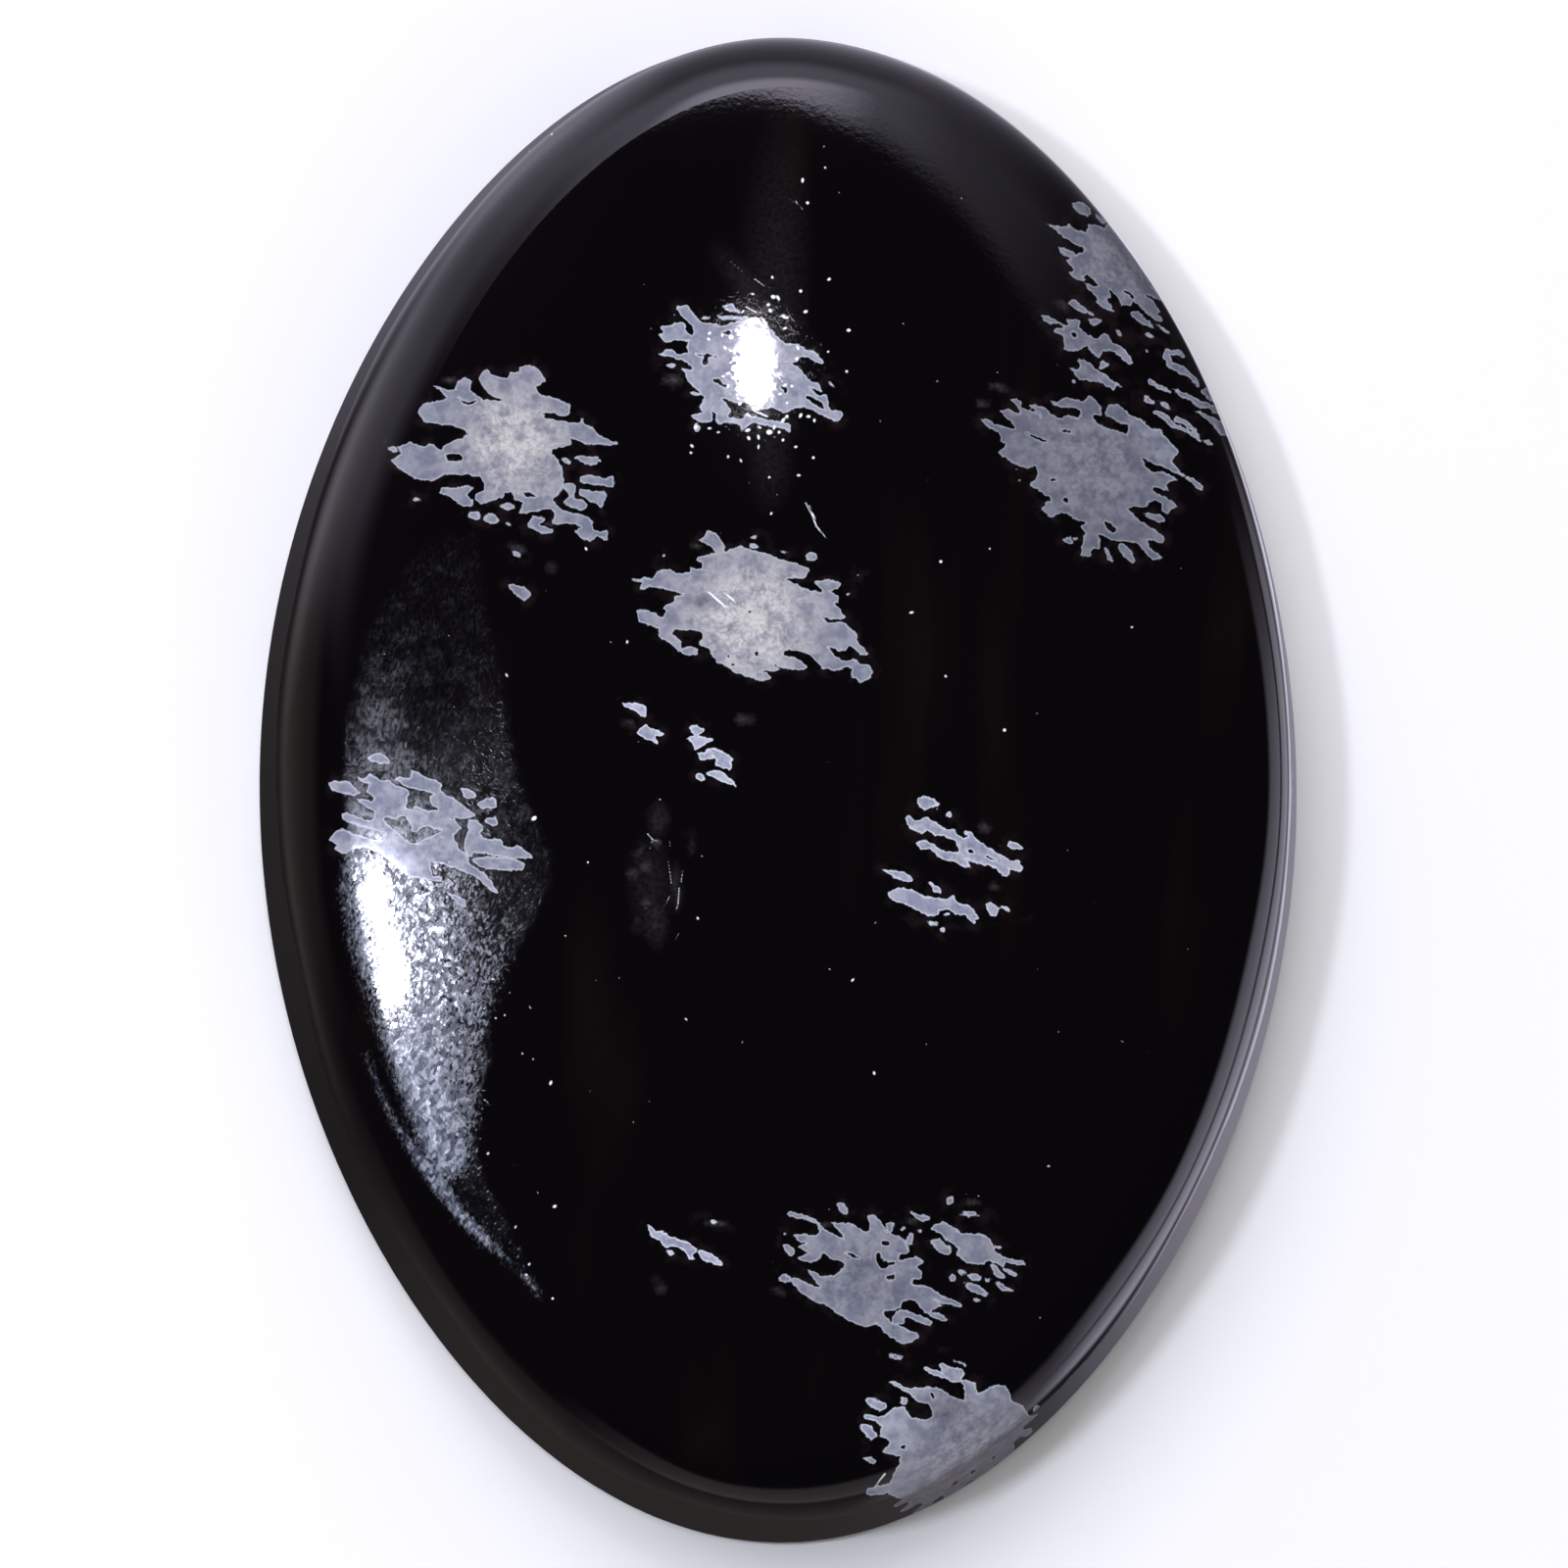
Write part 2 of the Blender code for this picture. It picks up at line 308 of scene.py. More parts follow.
            [(335, 798), (346, 797), (356, 798), (363, 804), (367, 810), (359, 811), (340, 806)],
            [(374, 774), (384, 768), (392, 770), (400, 779), (389, 780)],
            [(478, 837), (485, 837), (493, 843), (490, 850), (496, 856), (512, 856), (515, 864),
             (522, 865), (528, 863), (535, 866), (543, 875), (532, 877), (500, 872), (484, 869),
             (481, 874), (477, 872), (473, 864), (474, 855), (478, 846)],
            [(485, 875), (506, 874), (527, 877), (535, 883), (532, 888), (512, 888), (491, 885),
             (483, 878)],
            [(469, 805), (475, 804), (486, 810), (484, 814), (475, 814)],
            [(487, 820), (496, 815), (505, 815), (506, 825), (491, 825)],
            [(495, 836), (506, 834), (507, 842), (499, 842)],
            [(453, 908), (462, 912), (475, 917), (476, 926), (471, 925)],
        ],
        "gaps": [
            [(393, 833), (405, 838), (408, 833), (414, 834), (419, 842), (420, 849), (425, 849),
             (433, 843), (450, 847), (433, 856), (425, 861), (418, 860), (403, 847), (392, 837)],
        ],
    },
    "centre_specks": {
        "core": (700, 760, 30, 0.0, 1.42),
        "bodies": [
            [(636, 717), (650, 718), (659, 721), (659, 732), (648, 726), (637, 721)],
            [(650, 747), (658, 739), (663, 743), (676, 747), (677, 751), (669, 751), (671, 759),
             (654, 751)],
            [(703, 742), (707, 739), (720, 745), (714, 749), (713, 751), (727, 754), (722, 758),
             (710, 766), (707, 759), (701, 753), (708, 751), (705, 746)],
            [(712, 769), (719, 769), (722, 765), (728, 763), (739, 768), (748, 774), (745, 777),
             (746, 782), (744, 785), (729, 781), (730, 776), (726, 771), (727, 774), (715, 776)],
            [(721, 788), (733, 786), (739, 789), (752, 802), (747, 802), (727, 793)],
            [(711, 791), (714, 789), (719, 792), (719, 796), (715, 797), (712, 794)],
        ],
    },
    "lower_right": {
        "core": (970, 865, 40, 0.0, 1.28),
        "bodies": [
            [(937, 814), (949, 814), (959, 821), (949, 824), (943, 826), (938, 823)],
            [(925, 833), (928, 831), (935, 837), (941, 836), (945, 833), (953, 839), (959, 842),
             (966, 847), (974, 845), (976, 851), (982, 854), (988, 854), (984, 848), (991, 850),
             (1002, 860), (1020, 872), (1030, 878), (1039, 878), (1043, 883), (1042, 888), (1036, 889),
             (1030, 886), (1029, 892), (1026, 894), (1020, 890), (1016, 885), (999, 882), (985, 876),
             (992, 885), (985, 886), (976, 881), (961, 876), (949, 867), (941, 867), (935, 861),
             (943, 857), (949, 859), (959, 867), (978, 870), (977, 863), (974, 858), (964, 853),
             (955, 852), (946, 847), (941, 851), (929, 846), (926, 839)],
            [(1030, 859), (1035, 859), (1044, 865), (1042, 867), (1034, 867), (1029, 863)],
            [(900, 887), (908, 888), (923, 890), (932, 896), (929, 899), (921, 899), (906, 892)],
            [(948, 901), (953, 902), (961, 908), (959, 912), (953, 909)],
            [(905, 912), (917, 905), (936, 911), (943, 915), (951, 915), (962, 918), (968, 917),
             (973, 913), (974, 918), (979, 922), (986, 923), (992, 927), (1000, 937), (996, 938),
             (996, 943), (993, 943), (985, 934), (973, 933), (970, 928), (965, 928), (958, 929),
             (957, 934), (947, 935), (926, 924), (911, 919)],
            [(1005, 923), (1010, 920), (1016, 923), (1019, 927), (1018, 934), (1013, 934), (1008, 930)],
        ],
        "gaps": [
            [(987, 868), (990, 867), (994, 870), (990, 871)],
            [(1006, 875), (1011, 874), (1017, 878), (1010, 877)],
        ],
        "specks": [(967, 831, 3, 2.5, 20), (1025, 927, 5, 1.7, 20), (951, 942, 5, 1.5, 5),
                   (966, 933, 2.5, 1.2, 0), (962, 949, 2.3, 2.7, 0)],
    },
    "lower": {
        "core": (885, 1305, 45, 0.0, 0.89),
        "bodies": [
            [(803, 1240), (809, 1236), (833, 1245), (841, 1254), (861, 1265), (858, 1259), (849, 1247),
             (859, 1248), (871, 1249), (885, 1257), (888, 1251), (886, 1241), (890, 1239), (897, 1244),
             (906, 1257), (903, 1248), (912, 1247), (910, 1259), (918, 1261), (924, 1267), (928, 1276),
             (925, 1280), (918, 1280), (919, 1286), (935, 1283), (943, 1288), (936, 1293), (941, 1299),
             (939, 1305), (931, 1306), (931, 1311), (946, 1313), (962, 1322), (971, 1324), (981, 1332),
             (979, 1335), (953, 1326), (961, 1332), (950, 1338), (957, 1339), (967, 1347), (960, 1348),
             (944, 1339), (933, 1327), (921, 1327), (919, 1333), (912, 1337), (900, 1338), (907, 1347),
             (918, 1353), (925, 1357), (936, 1361), (938, 1365), (922, 1371), (903, 1361), (896, 1352),
             (881, 1354), (864, 1346), (844, 1332), (832, 1328), (814, 1317), (807, 1307), (812, 1304),
             (828, 1311), (837, 1314), (823, 1296), (837, 1301), (846, 1302), (856, 1299), (862, 1289),
             (850, 1285), (840, 1279), (835, 1285), (827, 1289), (813, 1283), (824, 1279), (814, 1272),
             (824, 1269), (816, 1267), (811, 1260), (831, 1260), (837, 1256), (831, 1248), (814, 1243)],
            [(918, 1336), (936, 1341), (950, 1348), (948, 1354), (924, 1344), (923, 1352), (911, 1351),
             (911, 1344)],
            [(854, 1229), (860, 1227), (865, 1232), (865, 1239), (861, 1239), (857, 1235)],
            [(799, 1271), (805, 1270), (810, 1276), (808, 1282), (803, 1279)],
            [(927, 1260), (931, 1259), (932, 1269), (925, 1268)],
            [(794, 1304), (800, 1300), (807, 1304), (806, 1308), (798, 1307)],
            [(950, 1254), (955, 1250), (963, 1247), (971, 1250), (981, 1258), (1001, 1259), (1009, 1263),
             (1018, 1279), (1034, 1285), (1042, 1285), (1046, 1291), (1027, 1288), (1023, 1293),
             (1009, 1286), (1004, 1290), (988, 1289), (976, 1279), (978, 1274), (963, 1264), (960, 1259)],
            [(949, 1265), (959, 1264), (970, 1274), (970, 1279), (963, 1281), (957, 1276)],
            [(1009, 1290), (1014, 1290), (1025, 1302), (1024, 1305), (1016, 1302)],
            [(1022, 1294), (1031, 1295), (1037, 1299), (1036, 1303), (1029, 1300)],
            [(1015, 1310), (1020, 1309), (1034, 1316), (1023, 1317)],
            [(929, 1237), (934, 1238), (948, 1243), (946, 1246), (938, 1246)],
        ],
        "gaps": [
            [(899, 1268), (903, 1266), (907, 1268), (905, 1272), (900, 1271)],
            [(862, 1278), (870, 1279), (877, 1283), (870, 1282)],
            [(893, 1283), (897, 1279), (900, 1284), (907, 1288), (914, 1288), (912, 1291), (899, 1294)],
            [(904, 1303), (909, 1302), (913, 1300), (912, 1305), (906, 1306)],
        ],
        "specks": [(922, 1254, 2.2, 1.8, 0), (939, 1255, 2.2, 1.5, 0), (800, 1259, 1.7, 1.7, 0),
                   (969, 1225, 4, 4.4, 0), (989, 1239, 8.5, 2.8, 5), (1018, 1272, 3.3, 1.7, 20),
                   (972, 1304, 3.7, 3.7, 0), (981, 1299, 3.7, 2, 10), (995, 1303, 7, 3.7, 15),
                   (1008, 1306, 3, 2, 0), (995, 1315, 12.5, 4.5, 25), (997, 1327, 3.7, 1.5, 10)],
    },
    "bottom": {
        "core": (985, 1480, 60, 0.12, 1.18),
        "bodies": [
            [(907, 1410), (913, 1409), (926, 1416), (955, 1415), (968, 1423), (984, 1429), (984, 1418),
             (979, 1410), (988, 1409), (995, 1411), (998, 1421), (1004, 1419), (1014, 1414), (1027, 1414),
             (1033, 1429), (1043, 1434), (1050, 1444), (1062, 1452), (1076, 1455), (1071, 1464),
             (1061, 1469), (1070, 1479), (1090, 1487), (1104, 1502), (1092, 1503), (1076, 1495),
             (1069, 1502), (1084, 1518), (1100, 1552), (1088, 1560), (1070, 1538), (1064, 1541),
             (1072, 1562), (1062, 1580), (1048, 1584), (1044, 1562), (1036, 1556), (1030, 1566),
             (1036, 1590), (1020, 1606), (1004, 1604), (1006, 1580), (998, 1570), (988, 1580),
             (992, 1604), (980, 1612), (968, 1598), (972, 1578), (962, 1570), (950, 1584), (940, 1580),
             (944, 1560), (934, 1552), (926, 1560), (920, 1548), (926, 1538), (919, 1530), (907, 1524),
             (907, 1514), (913, 1503), (919, 1487), (901, 1482), (908, 1471), (898, 1466), (900, 1455),
             (893, 1450), (883, 1448), (883, 1443), (901, 1445), (911, 1437), (923, 1436), (930, 1447),
             (949, 1447), (951, 1441), (949, 1434), (937, 1430), (926, 1421), (913, 1414)],
            [(883, 1429), (889, 1426), (903, 1431), (905, 1435), (899, 1439), (886, 1432)],
            [(876, 1455), (882, 1453), (889, 1455), (895, 1465), (889, 1469)],
            [(881, 1487), (890, 1488), (893, 1491), (891, 1495)],
            [(942, 1395), (956, 1398), (963, 1402), (966, 1406), (948, 1402)],
            [(959, 1393), (962, 1391), (968, 1394), (982, 1398), (984, 1403), (979, 1411), (965, 1407)],
            [(884, 1522), (886, 1518), (903, 1515), (907, 1513), (909, 1519), (905, 1524), (888, 1526)],
        ],
        "gaps": [
            [(950, 1421), (952, 1421), (954, 1425), (952, 1428)],
            [(919, 1475), (923, 1474), (923, 1478), (920, 1479)],
            [(1040, 1510), (1048, 1514), (1052, 1524), (1044, 1520)],
            [(1000, 1540), (1010, 1546), (1006, 1552), (998, 1548)],
            [(1020, 1526), (1028, 1532), (1026, 1540), (1018, 1534)],
        ],
        "specks": [(914, 1384, 6, 2.5, 10), (979, 1391, 6, 1.2, 25), (922, 1430, 3.7, 3.7, 0),
                   (1058, 1438, 4, 3.5, 0)],
    },
    "lower_left": {
        "core": (690, 1270, 30, 0.0, 1.42),
        "bodies": [
            [(661, 1251), (666, 1252), (669, 1255), (675, 1255), (684, 1262), (689, 1263), (703, 1268),
             (706, 1271), (711, 1274), (712, 1277), (707, 1281), (708, 1286), (704, 1285), (697, 1275),
             (687, 1271), (679, 1274), (673, 1266), (665, 1262)],
            [(679, 1276), (684, 1276), (688, 1279), (684, 1281)],
            [(713, 1277), (717, 1276), (726, 1280), (737, 1288), (735, 1293), (717, 1285)],
        ],
        "specks": [(729, 1247, 4, 1.5, 10)],
    },
}

# Soft darker or lighter spots inside the flakes: centre, reach across and down, change
FLAKE_SPOTS = (
    (717, 614, 9, 7, -0.4), (885, 1305, 45, 35, -0.2), (964, 1438, 28, 22, -0.5),
    (1015, 1525, 70, 15, 0.12),
)

# Soft grey smoke of what lies just under the surface, and a painted sheen of the upper lamp streaked above
# and below its highlight (the last three): centre, half length, half width, tilt, strength
SMOKE_AND_SHEEN = [
    (459, 388, 8, 4, 0, 0.8), (687, 388, 12, 6, 0, 0.9), (711, 558, 7, 3, 0, 0.7),
    (528, 560, 12, 5, 20, 0.7), (560, 577, 8, 3, 25, 0.6), (484, 448, 10, 4, 0, 0.6),
    (1145, 160, 6, 3, 0, 0.6), (1225, 330, 6, 3, 40, 0.6), (930, 1245, 10, 3, 10, 0.8),
    (730, 1248, 14, 4, 5, 0.8), (992, 1227, 9, 4, 0, 0.7), (1005, 845, 8, 6, 40, 0.7),
    (1015, 905, 8, 4, 20, 0.6), (915, 1384, 8, 4, 0, 0.6), (672, 1312, 8, 4, 50, 0.6),
    (760, 735, 10, 4, 10, 0.7), (643, 738, 6, 4, 30, 0.6), (1020, 395, 12, 4, 20, 0.7),
    (1000, 412, 10, 4, 10, 0.7), (842, 1250, 8, 3, 0, 0.6), (795, 1318, 9, 4, 10, 0.6),
    (560, 535, 6, 3, 10, 0.5), (1085, 312, 10, 5, 40, 0.5), (658, 887, 13, 4, 82, 1.0),
    (647, 893, 8, 6, 70, 0.6), (670, 860, 8, 5, 20, 0.9), (653, 868, 11, 3, 105, 0.5),
    (659, 921, 8, 5, 10, 0.8), (652, 944, 7, 4, 60, 0.9), (668, 938, 34, 15, 84, 0.3),
    (672, 836, 22, 13, 90, 0.28), (690, 905, 30, 8, 88, 0.3), (706, 862, 14, 4, 92, 0.25),
    (664, 905, 60, 26, 88, 0.16), (790, 300, 210, 40, 92, 0.13), (786, 470, 60, 26, 90, 0.13),
    (762, 290, 60, 18, 50, 0.16),
]

# Chips, scratches and crystal needles that catch the light: lines of points with a half width
SCRATCHES = [
    [(822, 513, 0.6), (828, 524, 0.5), (833, 537, 0.7), (844, 550, 0.2)],
    [(826, 516, 0.1), (832, 530, 0.5)],
    [(661, 851, 0.5), (666, 857, 0.4), (672, 858, 0.0)],
    [(666, 858, 0.2), (663, 866, 0.0)],
    [(683, 857, 0.2), (684, 866, 0.0)],
    [(682, 879, 0.1), (685, 901, 0.3)],
    [(685, 910, 0.0), (680, 922, 0.3), (677, 926, 0.0)],
    [(697, 887, 0.0), (695, 900, 0.4)],
    [(693, 906, 0.4), (692, 922, 0.4), (690, 929, 0.2)],
    [(693, 952, 0.0), (688, 960, 0.0)],
    [(771, 285, 0.3), (780, 292, 0.3)],
    [(768, 284, 0.0), (777, 290, 0.0)],
    [(761, 313, 0.6), (772, 319, 0.5)],
    [(745, 266, 0.0), (757, 277, 0.0)],
    [(812, 205, 0.2), (819, 214, 0.2)],
    [(806, 203, 0.0), (812, 208, 0.0)],
    [(769, 419, 0.8), (783, 425, 0.8)],
    [(750, 432, 0.1), (762, 436, 0.1)],
    [(903, 1504, 0.9), (898, 1510, 0.7), (893, 1517, 0.4)],
    [(717, 602, -0.2), (724, 605, 0.8), (732, 612, 1.2), (740, 619, 0.8), (748, 620, -0.1)],
    [(736, 604, -0.2), (742, 607, 0.8), (748, 612, 1.0), (752, 617, -0.2)],
    [(488, 1114, 0.0), (497, 1112, 0.2)],
    [(491, 1128, -0.3), (530, 1127, -0.42)],
    [(488, 1190, -0.38), (510, 1189, -0.28), (527, 1189, -0.2), (535, 1194, -0.38)],
    [(494, 1122, 0.4), (499, 1126, 0.2)],
    [(1219, 1228, 0.5), (1222, 1233, 0.3)],
]
# Dust, and painted glints: the specks round the upper highlight and the two at the upper left rim are pits
# and chips lit by the lamps, painted white. Centre and half width in pixels.
DUST_AND_GLINTS = [
    (960, 573, 1.5), (930, 625, 1.4), (965, 690, 1.2), (1025, 745, 1.6), (892, 1095, 1.4),
    (870, 1000, 1.3), (545, 835, 2.2), (712, 937, 1.2), (819, 184, 1.6), (824, 207, 1.5), (842, 171, 1.0),
    (612, 470, 1.0), (598, 560, 1.3), (517, 689, 1.2), (743, 466, 1.2), (756, 470, 1.2), (785, 487, 1.2),
    (830, 467, 1.4), (815, 485, 1.3), (866, 337, 1.7), (864, 379, 1.3), (845, 359, 1.1), (787, 524, 1.2),
    (540, 1290, 1.2), (1070, 1190, 1.0), (700, 1040, 1.0), (1155, 640, 1.0), (1010, 560, 0.9),
    (640, 655, 1.2), (600, 880, 1.0), (724, 340, 1.6), (723, 346, 1.5), (737, 342, 1.6), (746, 344, 2.6),
    (740, 355, 1.7), (738, 384, 1.5), (743, 381, 1.7), (743, 394, 1.5), (755, 412, 1.6), (763, 439, 1.9),
    (764, 447, 1.7), (785, 441, 2.6), (774, 446, 1.6), (775, 436, 1.4), (774, 456, 1.3), (790, 436, 1.6),
    (799, 429, 1.9), (803, 425, 1.6), (795, 441, 1.5), (799, 449, 1.4), (812, 456, 1.3), (817, 424, 1.7),
    (825, 425, 1.6), (831, 429, 1.4), (801, 393, 1.7), (808, 394, 1.6), (796, 402, 1.6), (803, 411, 1.4),
    (813, 366, 1.8), (814, 355, 1.7), (562, 1105, 1.6), (566, 1231, 1.6), (498, 1177, 1.2),
    (526, 1252, 1.0), (537, 1301, 1.2), (564, 1325, 1.2), (506, 1039, 0.9), (515, 1036, 0.8),
    (503, 999, 1.0), (520, 1013, 0.7), (541, 1028, 0.7), (577, 955, 0.8), (533, 1075, 0.8),
    (544, 1081, 0.7), (494, 1029, 0.8), (563, 137, 0.9), (540, 154, 0.7), (822, 318, 1.7),
    (817, 297, 1.6), (789, 303, 2.0), (794, 304, 1.7), (784, 311, 1.6), (786, 317, 1.8), (800, 323, 1.7),
    (803, 324, 1.4), (788, 283, 1.3), (846, 285, 1.5), (768, 300, 1.2), (801, 335, 1.5), (706, 455, 1.4),
    (705, 462, 1.2), (710, 436, 2.0), (724, 437, 1.3), (733, 441, 1.1), (758, 318, 1.3),
]

# Fainter dust: how many specks, the part of the photograph that they fall in, their half width, how
# drawn out all dust and painted glints are, and the dome's half width and half length in pixels
FAINT_DUST = 100
DUST_SEED = 11
FAINT_DUST_AREA = ((330, 110), (1260, 1490))
FAINT_DUST_REACH = (0.25, 0.65)
DUST_STRETCH = (1.0, 1.7)
DOME_REACH = (460, 670)

# How the drawn edges are pushed about: wavelength and size in pixels
RAGGEDNESS = ((9.0, 0.85), (3.8, 0.75))
STAR_REACH = 140.0  # the distance scale of a flake's rays, in pixels
# This serves the painted sheen round the upper highlight too
SMOKE_AND_SHEEN_RISE = 1.3  # how fast smoke thickens from its edge

# The worn patch on the left, where the polish is dulled
WORN_PATCH = [
    (486, 540), (490, 560), (500, 640), (515, 710), (527, 780), (540, 820), (555, 850), (562, 880),
    (560, 910), (548, 930), (530, 960), (512, 985), (505, 1010), (498, 1040), (500, 1080), (488, 1120),
    (480, 1160), (494, 1196), (516, 1240), (556, 1326), (528, 1322), (480, 1262), (440, 1180),
    (410, 1130), (385, 1050), (365, 960), (352, 860), (350, 760), (362, 690), (385, 620), (430, 560),
]
# Its left side as y and x, how wide it fades in there, how wide its crisp right edge is, how dull it
# is by y, and the share of it that shows on a snowflake
WORN_LEFT_SIDE = (
    (540, 415), (620, 362), (700, 338), (760, 326), (860, 324), (960, 340), (1050, 362), (1130, 392),
    (1240, 455), (1330, 520),
)
WORN_FADE = 40.0
WORN_EDGE = 4.0
WORN_STRENGTH = ((540, 0.35), (700, 0.43), (840, 0.47), (930, 0.45), (1000, 0.35), (1330, 0.30))
WORN_ON_FLAKES = 0.35
# Spots where it is more or less dull: centre, reach across and down, change
WORN_SPOTS = (
    (414, 760, 22, 62, -0.15), (392, 745, 30, 60, 0.35), (520, 885, 36, 52, -0.25),
    (455, 720, 30, 60, -0.15), (390, 952, 32, 105, -0.38),
)

# The part of it that is crushed into tiny shards: an outline, and a band (points with a half width)
CRUSHED_PATCH = [
    (350, 868), (370, 854), (398, 858), (420, 880), (452, 880), (500, 884), (535, 900), (545, 930),
    (530, 965), (518, 992), (508, 1020), (498, 1045), (492, 1071), (490, 1100), (490, 1130), (486, 1155),
    (482, 1184), (464, 1206), (444, 1200), (424, 1168), (410, 1130), (396, 1088), (385, 1060),
    (374, 1030), (362, 990), (351, 950), (345, 905),
]
CRUSHED_BAND = [
    (372, 1075, 2), (384, 1105, 3), (394, 1130, 4), (411, 1158, 5), (430, 1184, 9), (446, 1206, 11),
    (463, 1230, 8), (475, 1244, 8), (490, 1260, 8), (505, 1273, 6), (516, 1283, 3), (528, 1298, 1),
    (538, 1305, 4), (551, 1322, 2),
]
# How it thins out to the right, which also dims the painted glow of the left lamp away from its highlight:
# its core's line as y and x, and how much of it is left by the distance
CRUSHED_CORE = ((880, 385), (1000, 402), (1090, 418), (1180, 440), (1300, 540))
CRUSHED_THINNING = ((20, 1.0), (45, 0.60), (80, 0.46), (110, 0.36), (150, 0.25))
# The widths over which it fades in from its outline and from the band, and the share on the line
PATCH_FADE = (16.0, 0.30)
BAND_FADE = (9.0, 0.27)
LEAST_CRUSHED = 0.05  # what a spot leaves at least
# Spots where it is less crushed: the highlight's own smooth middle, and its thin right side
CRUSHED_SPOTS = (
    (380, 905, 25, 52, -0.9), (402, 1002, 26, 54, -0.9), (520, 915, 56, 50, -0.55),
    (452, 925, 28, 42, -0.45),
)

# The part of the wall that the photograph doesn't show: the middle and half width of its azimuths from
# +Y, the degrees over which the depth in it grows at its sides, and the share of the wall above it. The
# depth is kept as a small number, because 1 stands for the back, and the scale makes pixels of it.
UNSEEN_MIDDLE = 30.0
UNSEEN_HALF_WIDTH = 62.0
UNSEEN_SIDE = 20.0
UNSEEN_TOP = 0.12
UNSEEN_DEPTH = 30.0
UNSEEN_SCALE = 1000.0

BACK_FLAKE_SPACING = 7.0 * MM
BACK_FLAKE_REACH = 0.30  # of the spacing
BACK_LIGHTNESS = 0.95

PITTED_REACH = 50.0  # of the faintly uneven polish round the upper highlight, in pixels

# Colours of the glass, the flakes and the marks
GLASS = (0.0014, 0.0009, 0.0015, 1.0)
GLASS_BROWN = (0.0052, 0.0028, 0.0022, 1.0)
GROUND_GLASS = (0.0060, 0.0045, 0.0042, 1.0)
HALO_BROWN = (0.0115, 0.0072, 0.0082, 1.0)
FLAKE_GREY = (0.180, 0.190, 0.248, 1.0)
FLAKE_LIGHT = (0.275, 0.284, 0.335, 1.0)
FLAKE_CREAM = (0.56, 0.54, 0.525, 1.0)
FLAKE_OUTLINE = (0.47, 0.51, 0.57, 1.0)
FLAKE_GROUND = (0.62, 0.57, 0.55, 1.0)  # how much darker a flake is where the stone is only ground
# Smoke, and the painted sheen of the upper lamp
SMOKE_AND_SHEEN_GREY = (0.058, 0.052, 0.056, 1.0)
WORN_GREY = (0.012, 0.011, 0.015, 1.0)
# Pale splinters: partly the frosting's own colour, partly a painted glow of the left lamp round its
# highlight
CRUSHED_GLOW_GREY = (0.32, 0.34, 0.39, 1.0)
CRUSHED_GLOW_BLUE = (0.16, 0.20, 0.31, 1.0)
GLINT_WHITE = (0.85, 0.87, 0.92, 1.0)

# How large the features of each noise are
FRAY_SIZE = 0.10 * MM  # at the edges of flakes and in smoke
MOTTLE_SIZE = 0.42 * MM
GRAIN_SIZE = 0.13 * MM
RAY_SIZE = 0.13  # round a core, where 1 is the core's distance scale
RAY_WARP_SIZE = 0.35 * MM
STREAK_SIZE = 2.2 * MM
SPECKLE_SIZE = 0.06 * MM
LARGE_SHARD = 0.085 * MM
SMALL_SHARD = 0.055 * MM
WALL_EDGE_SIZE = 1.1 * MM
GRIT_SIZE = 0.045 * MM
BACK_WARP_SIZE = MM / 0.7
BACK_WARP = 3.2 * MM  # how far the warp may move the back's flakes

# How far noise moves a flake's edge, in pixels, and where the unseen part begins, in pixels
FRAY = 0.8
UNSEEN_EDGE = (-11.0, 1.0)
# Heights in micrometres, how steeply a shard leans, and the share of that where dust and wear are
MICROMETRES = 1e6  # in a metre
HAIR_HEIGHT = 0.42
GRIND_HEIGHT = 1.2
FACET_SLOPE = 0.06
PITTED_LEAN = 0.16
WORN_LEAN = 0.36
# Where the wall's top lies below the shoulder's end, in millimetres: the noise in it, and the fades of
# its colour and of its grinding marks
WALL_EDGE_SWAY = 0.06
GROUND_FADE = (-0.08, 0.12)
GRIT_FADE = (-0.06, 0.14)
# Roughness of the polish, and what a flake, dulling and grinding add to it
POLISH_ROUGHNESS = 0.035
FLAKE_ROUGHNESS = 0.012
DULLED_ROUGHNESS = (0.09, 0.34)
GROUND_ROUGHNESS = 0.30
GLASS_IOR = 1.5

# The highlights' lamps, each an oval that the polish mirrors at a pixel: the pixel, its level and its
# rising measure in degrees as the stone sees it, radiance, roll in degrees and tint
HIGHLIGHT_LAMPS = {
    "upper_lamp": (HIGHLIGHT_UPPER, (3.5, 3.6), 45.0, 0.0, (1.0, 0.95, 1.10)),
    "left_lamp": (HIGHLIGHT_LEFT, (7.6, 3.7), 110.0, 27.0, (0.88, 0.92, 1.15)),
}
HIGHLIGHT_DISTANCE = 0.45
# Soft lamps that the polish doesn't mirror: azimuth, elevation and radiance
SOFT_LAMPS = {"soft_overhead": (-35, 62, 2.5), "soft_front": (150, 50, 0.85)}
SOFT_DISTANCE = 2.5
SOFT_SIZE = (2.2, 2.2)
FLOOR_HALF_SIDE = 1.5
FLOOR_GAP = 0.01 * MM

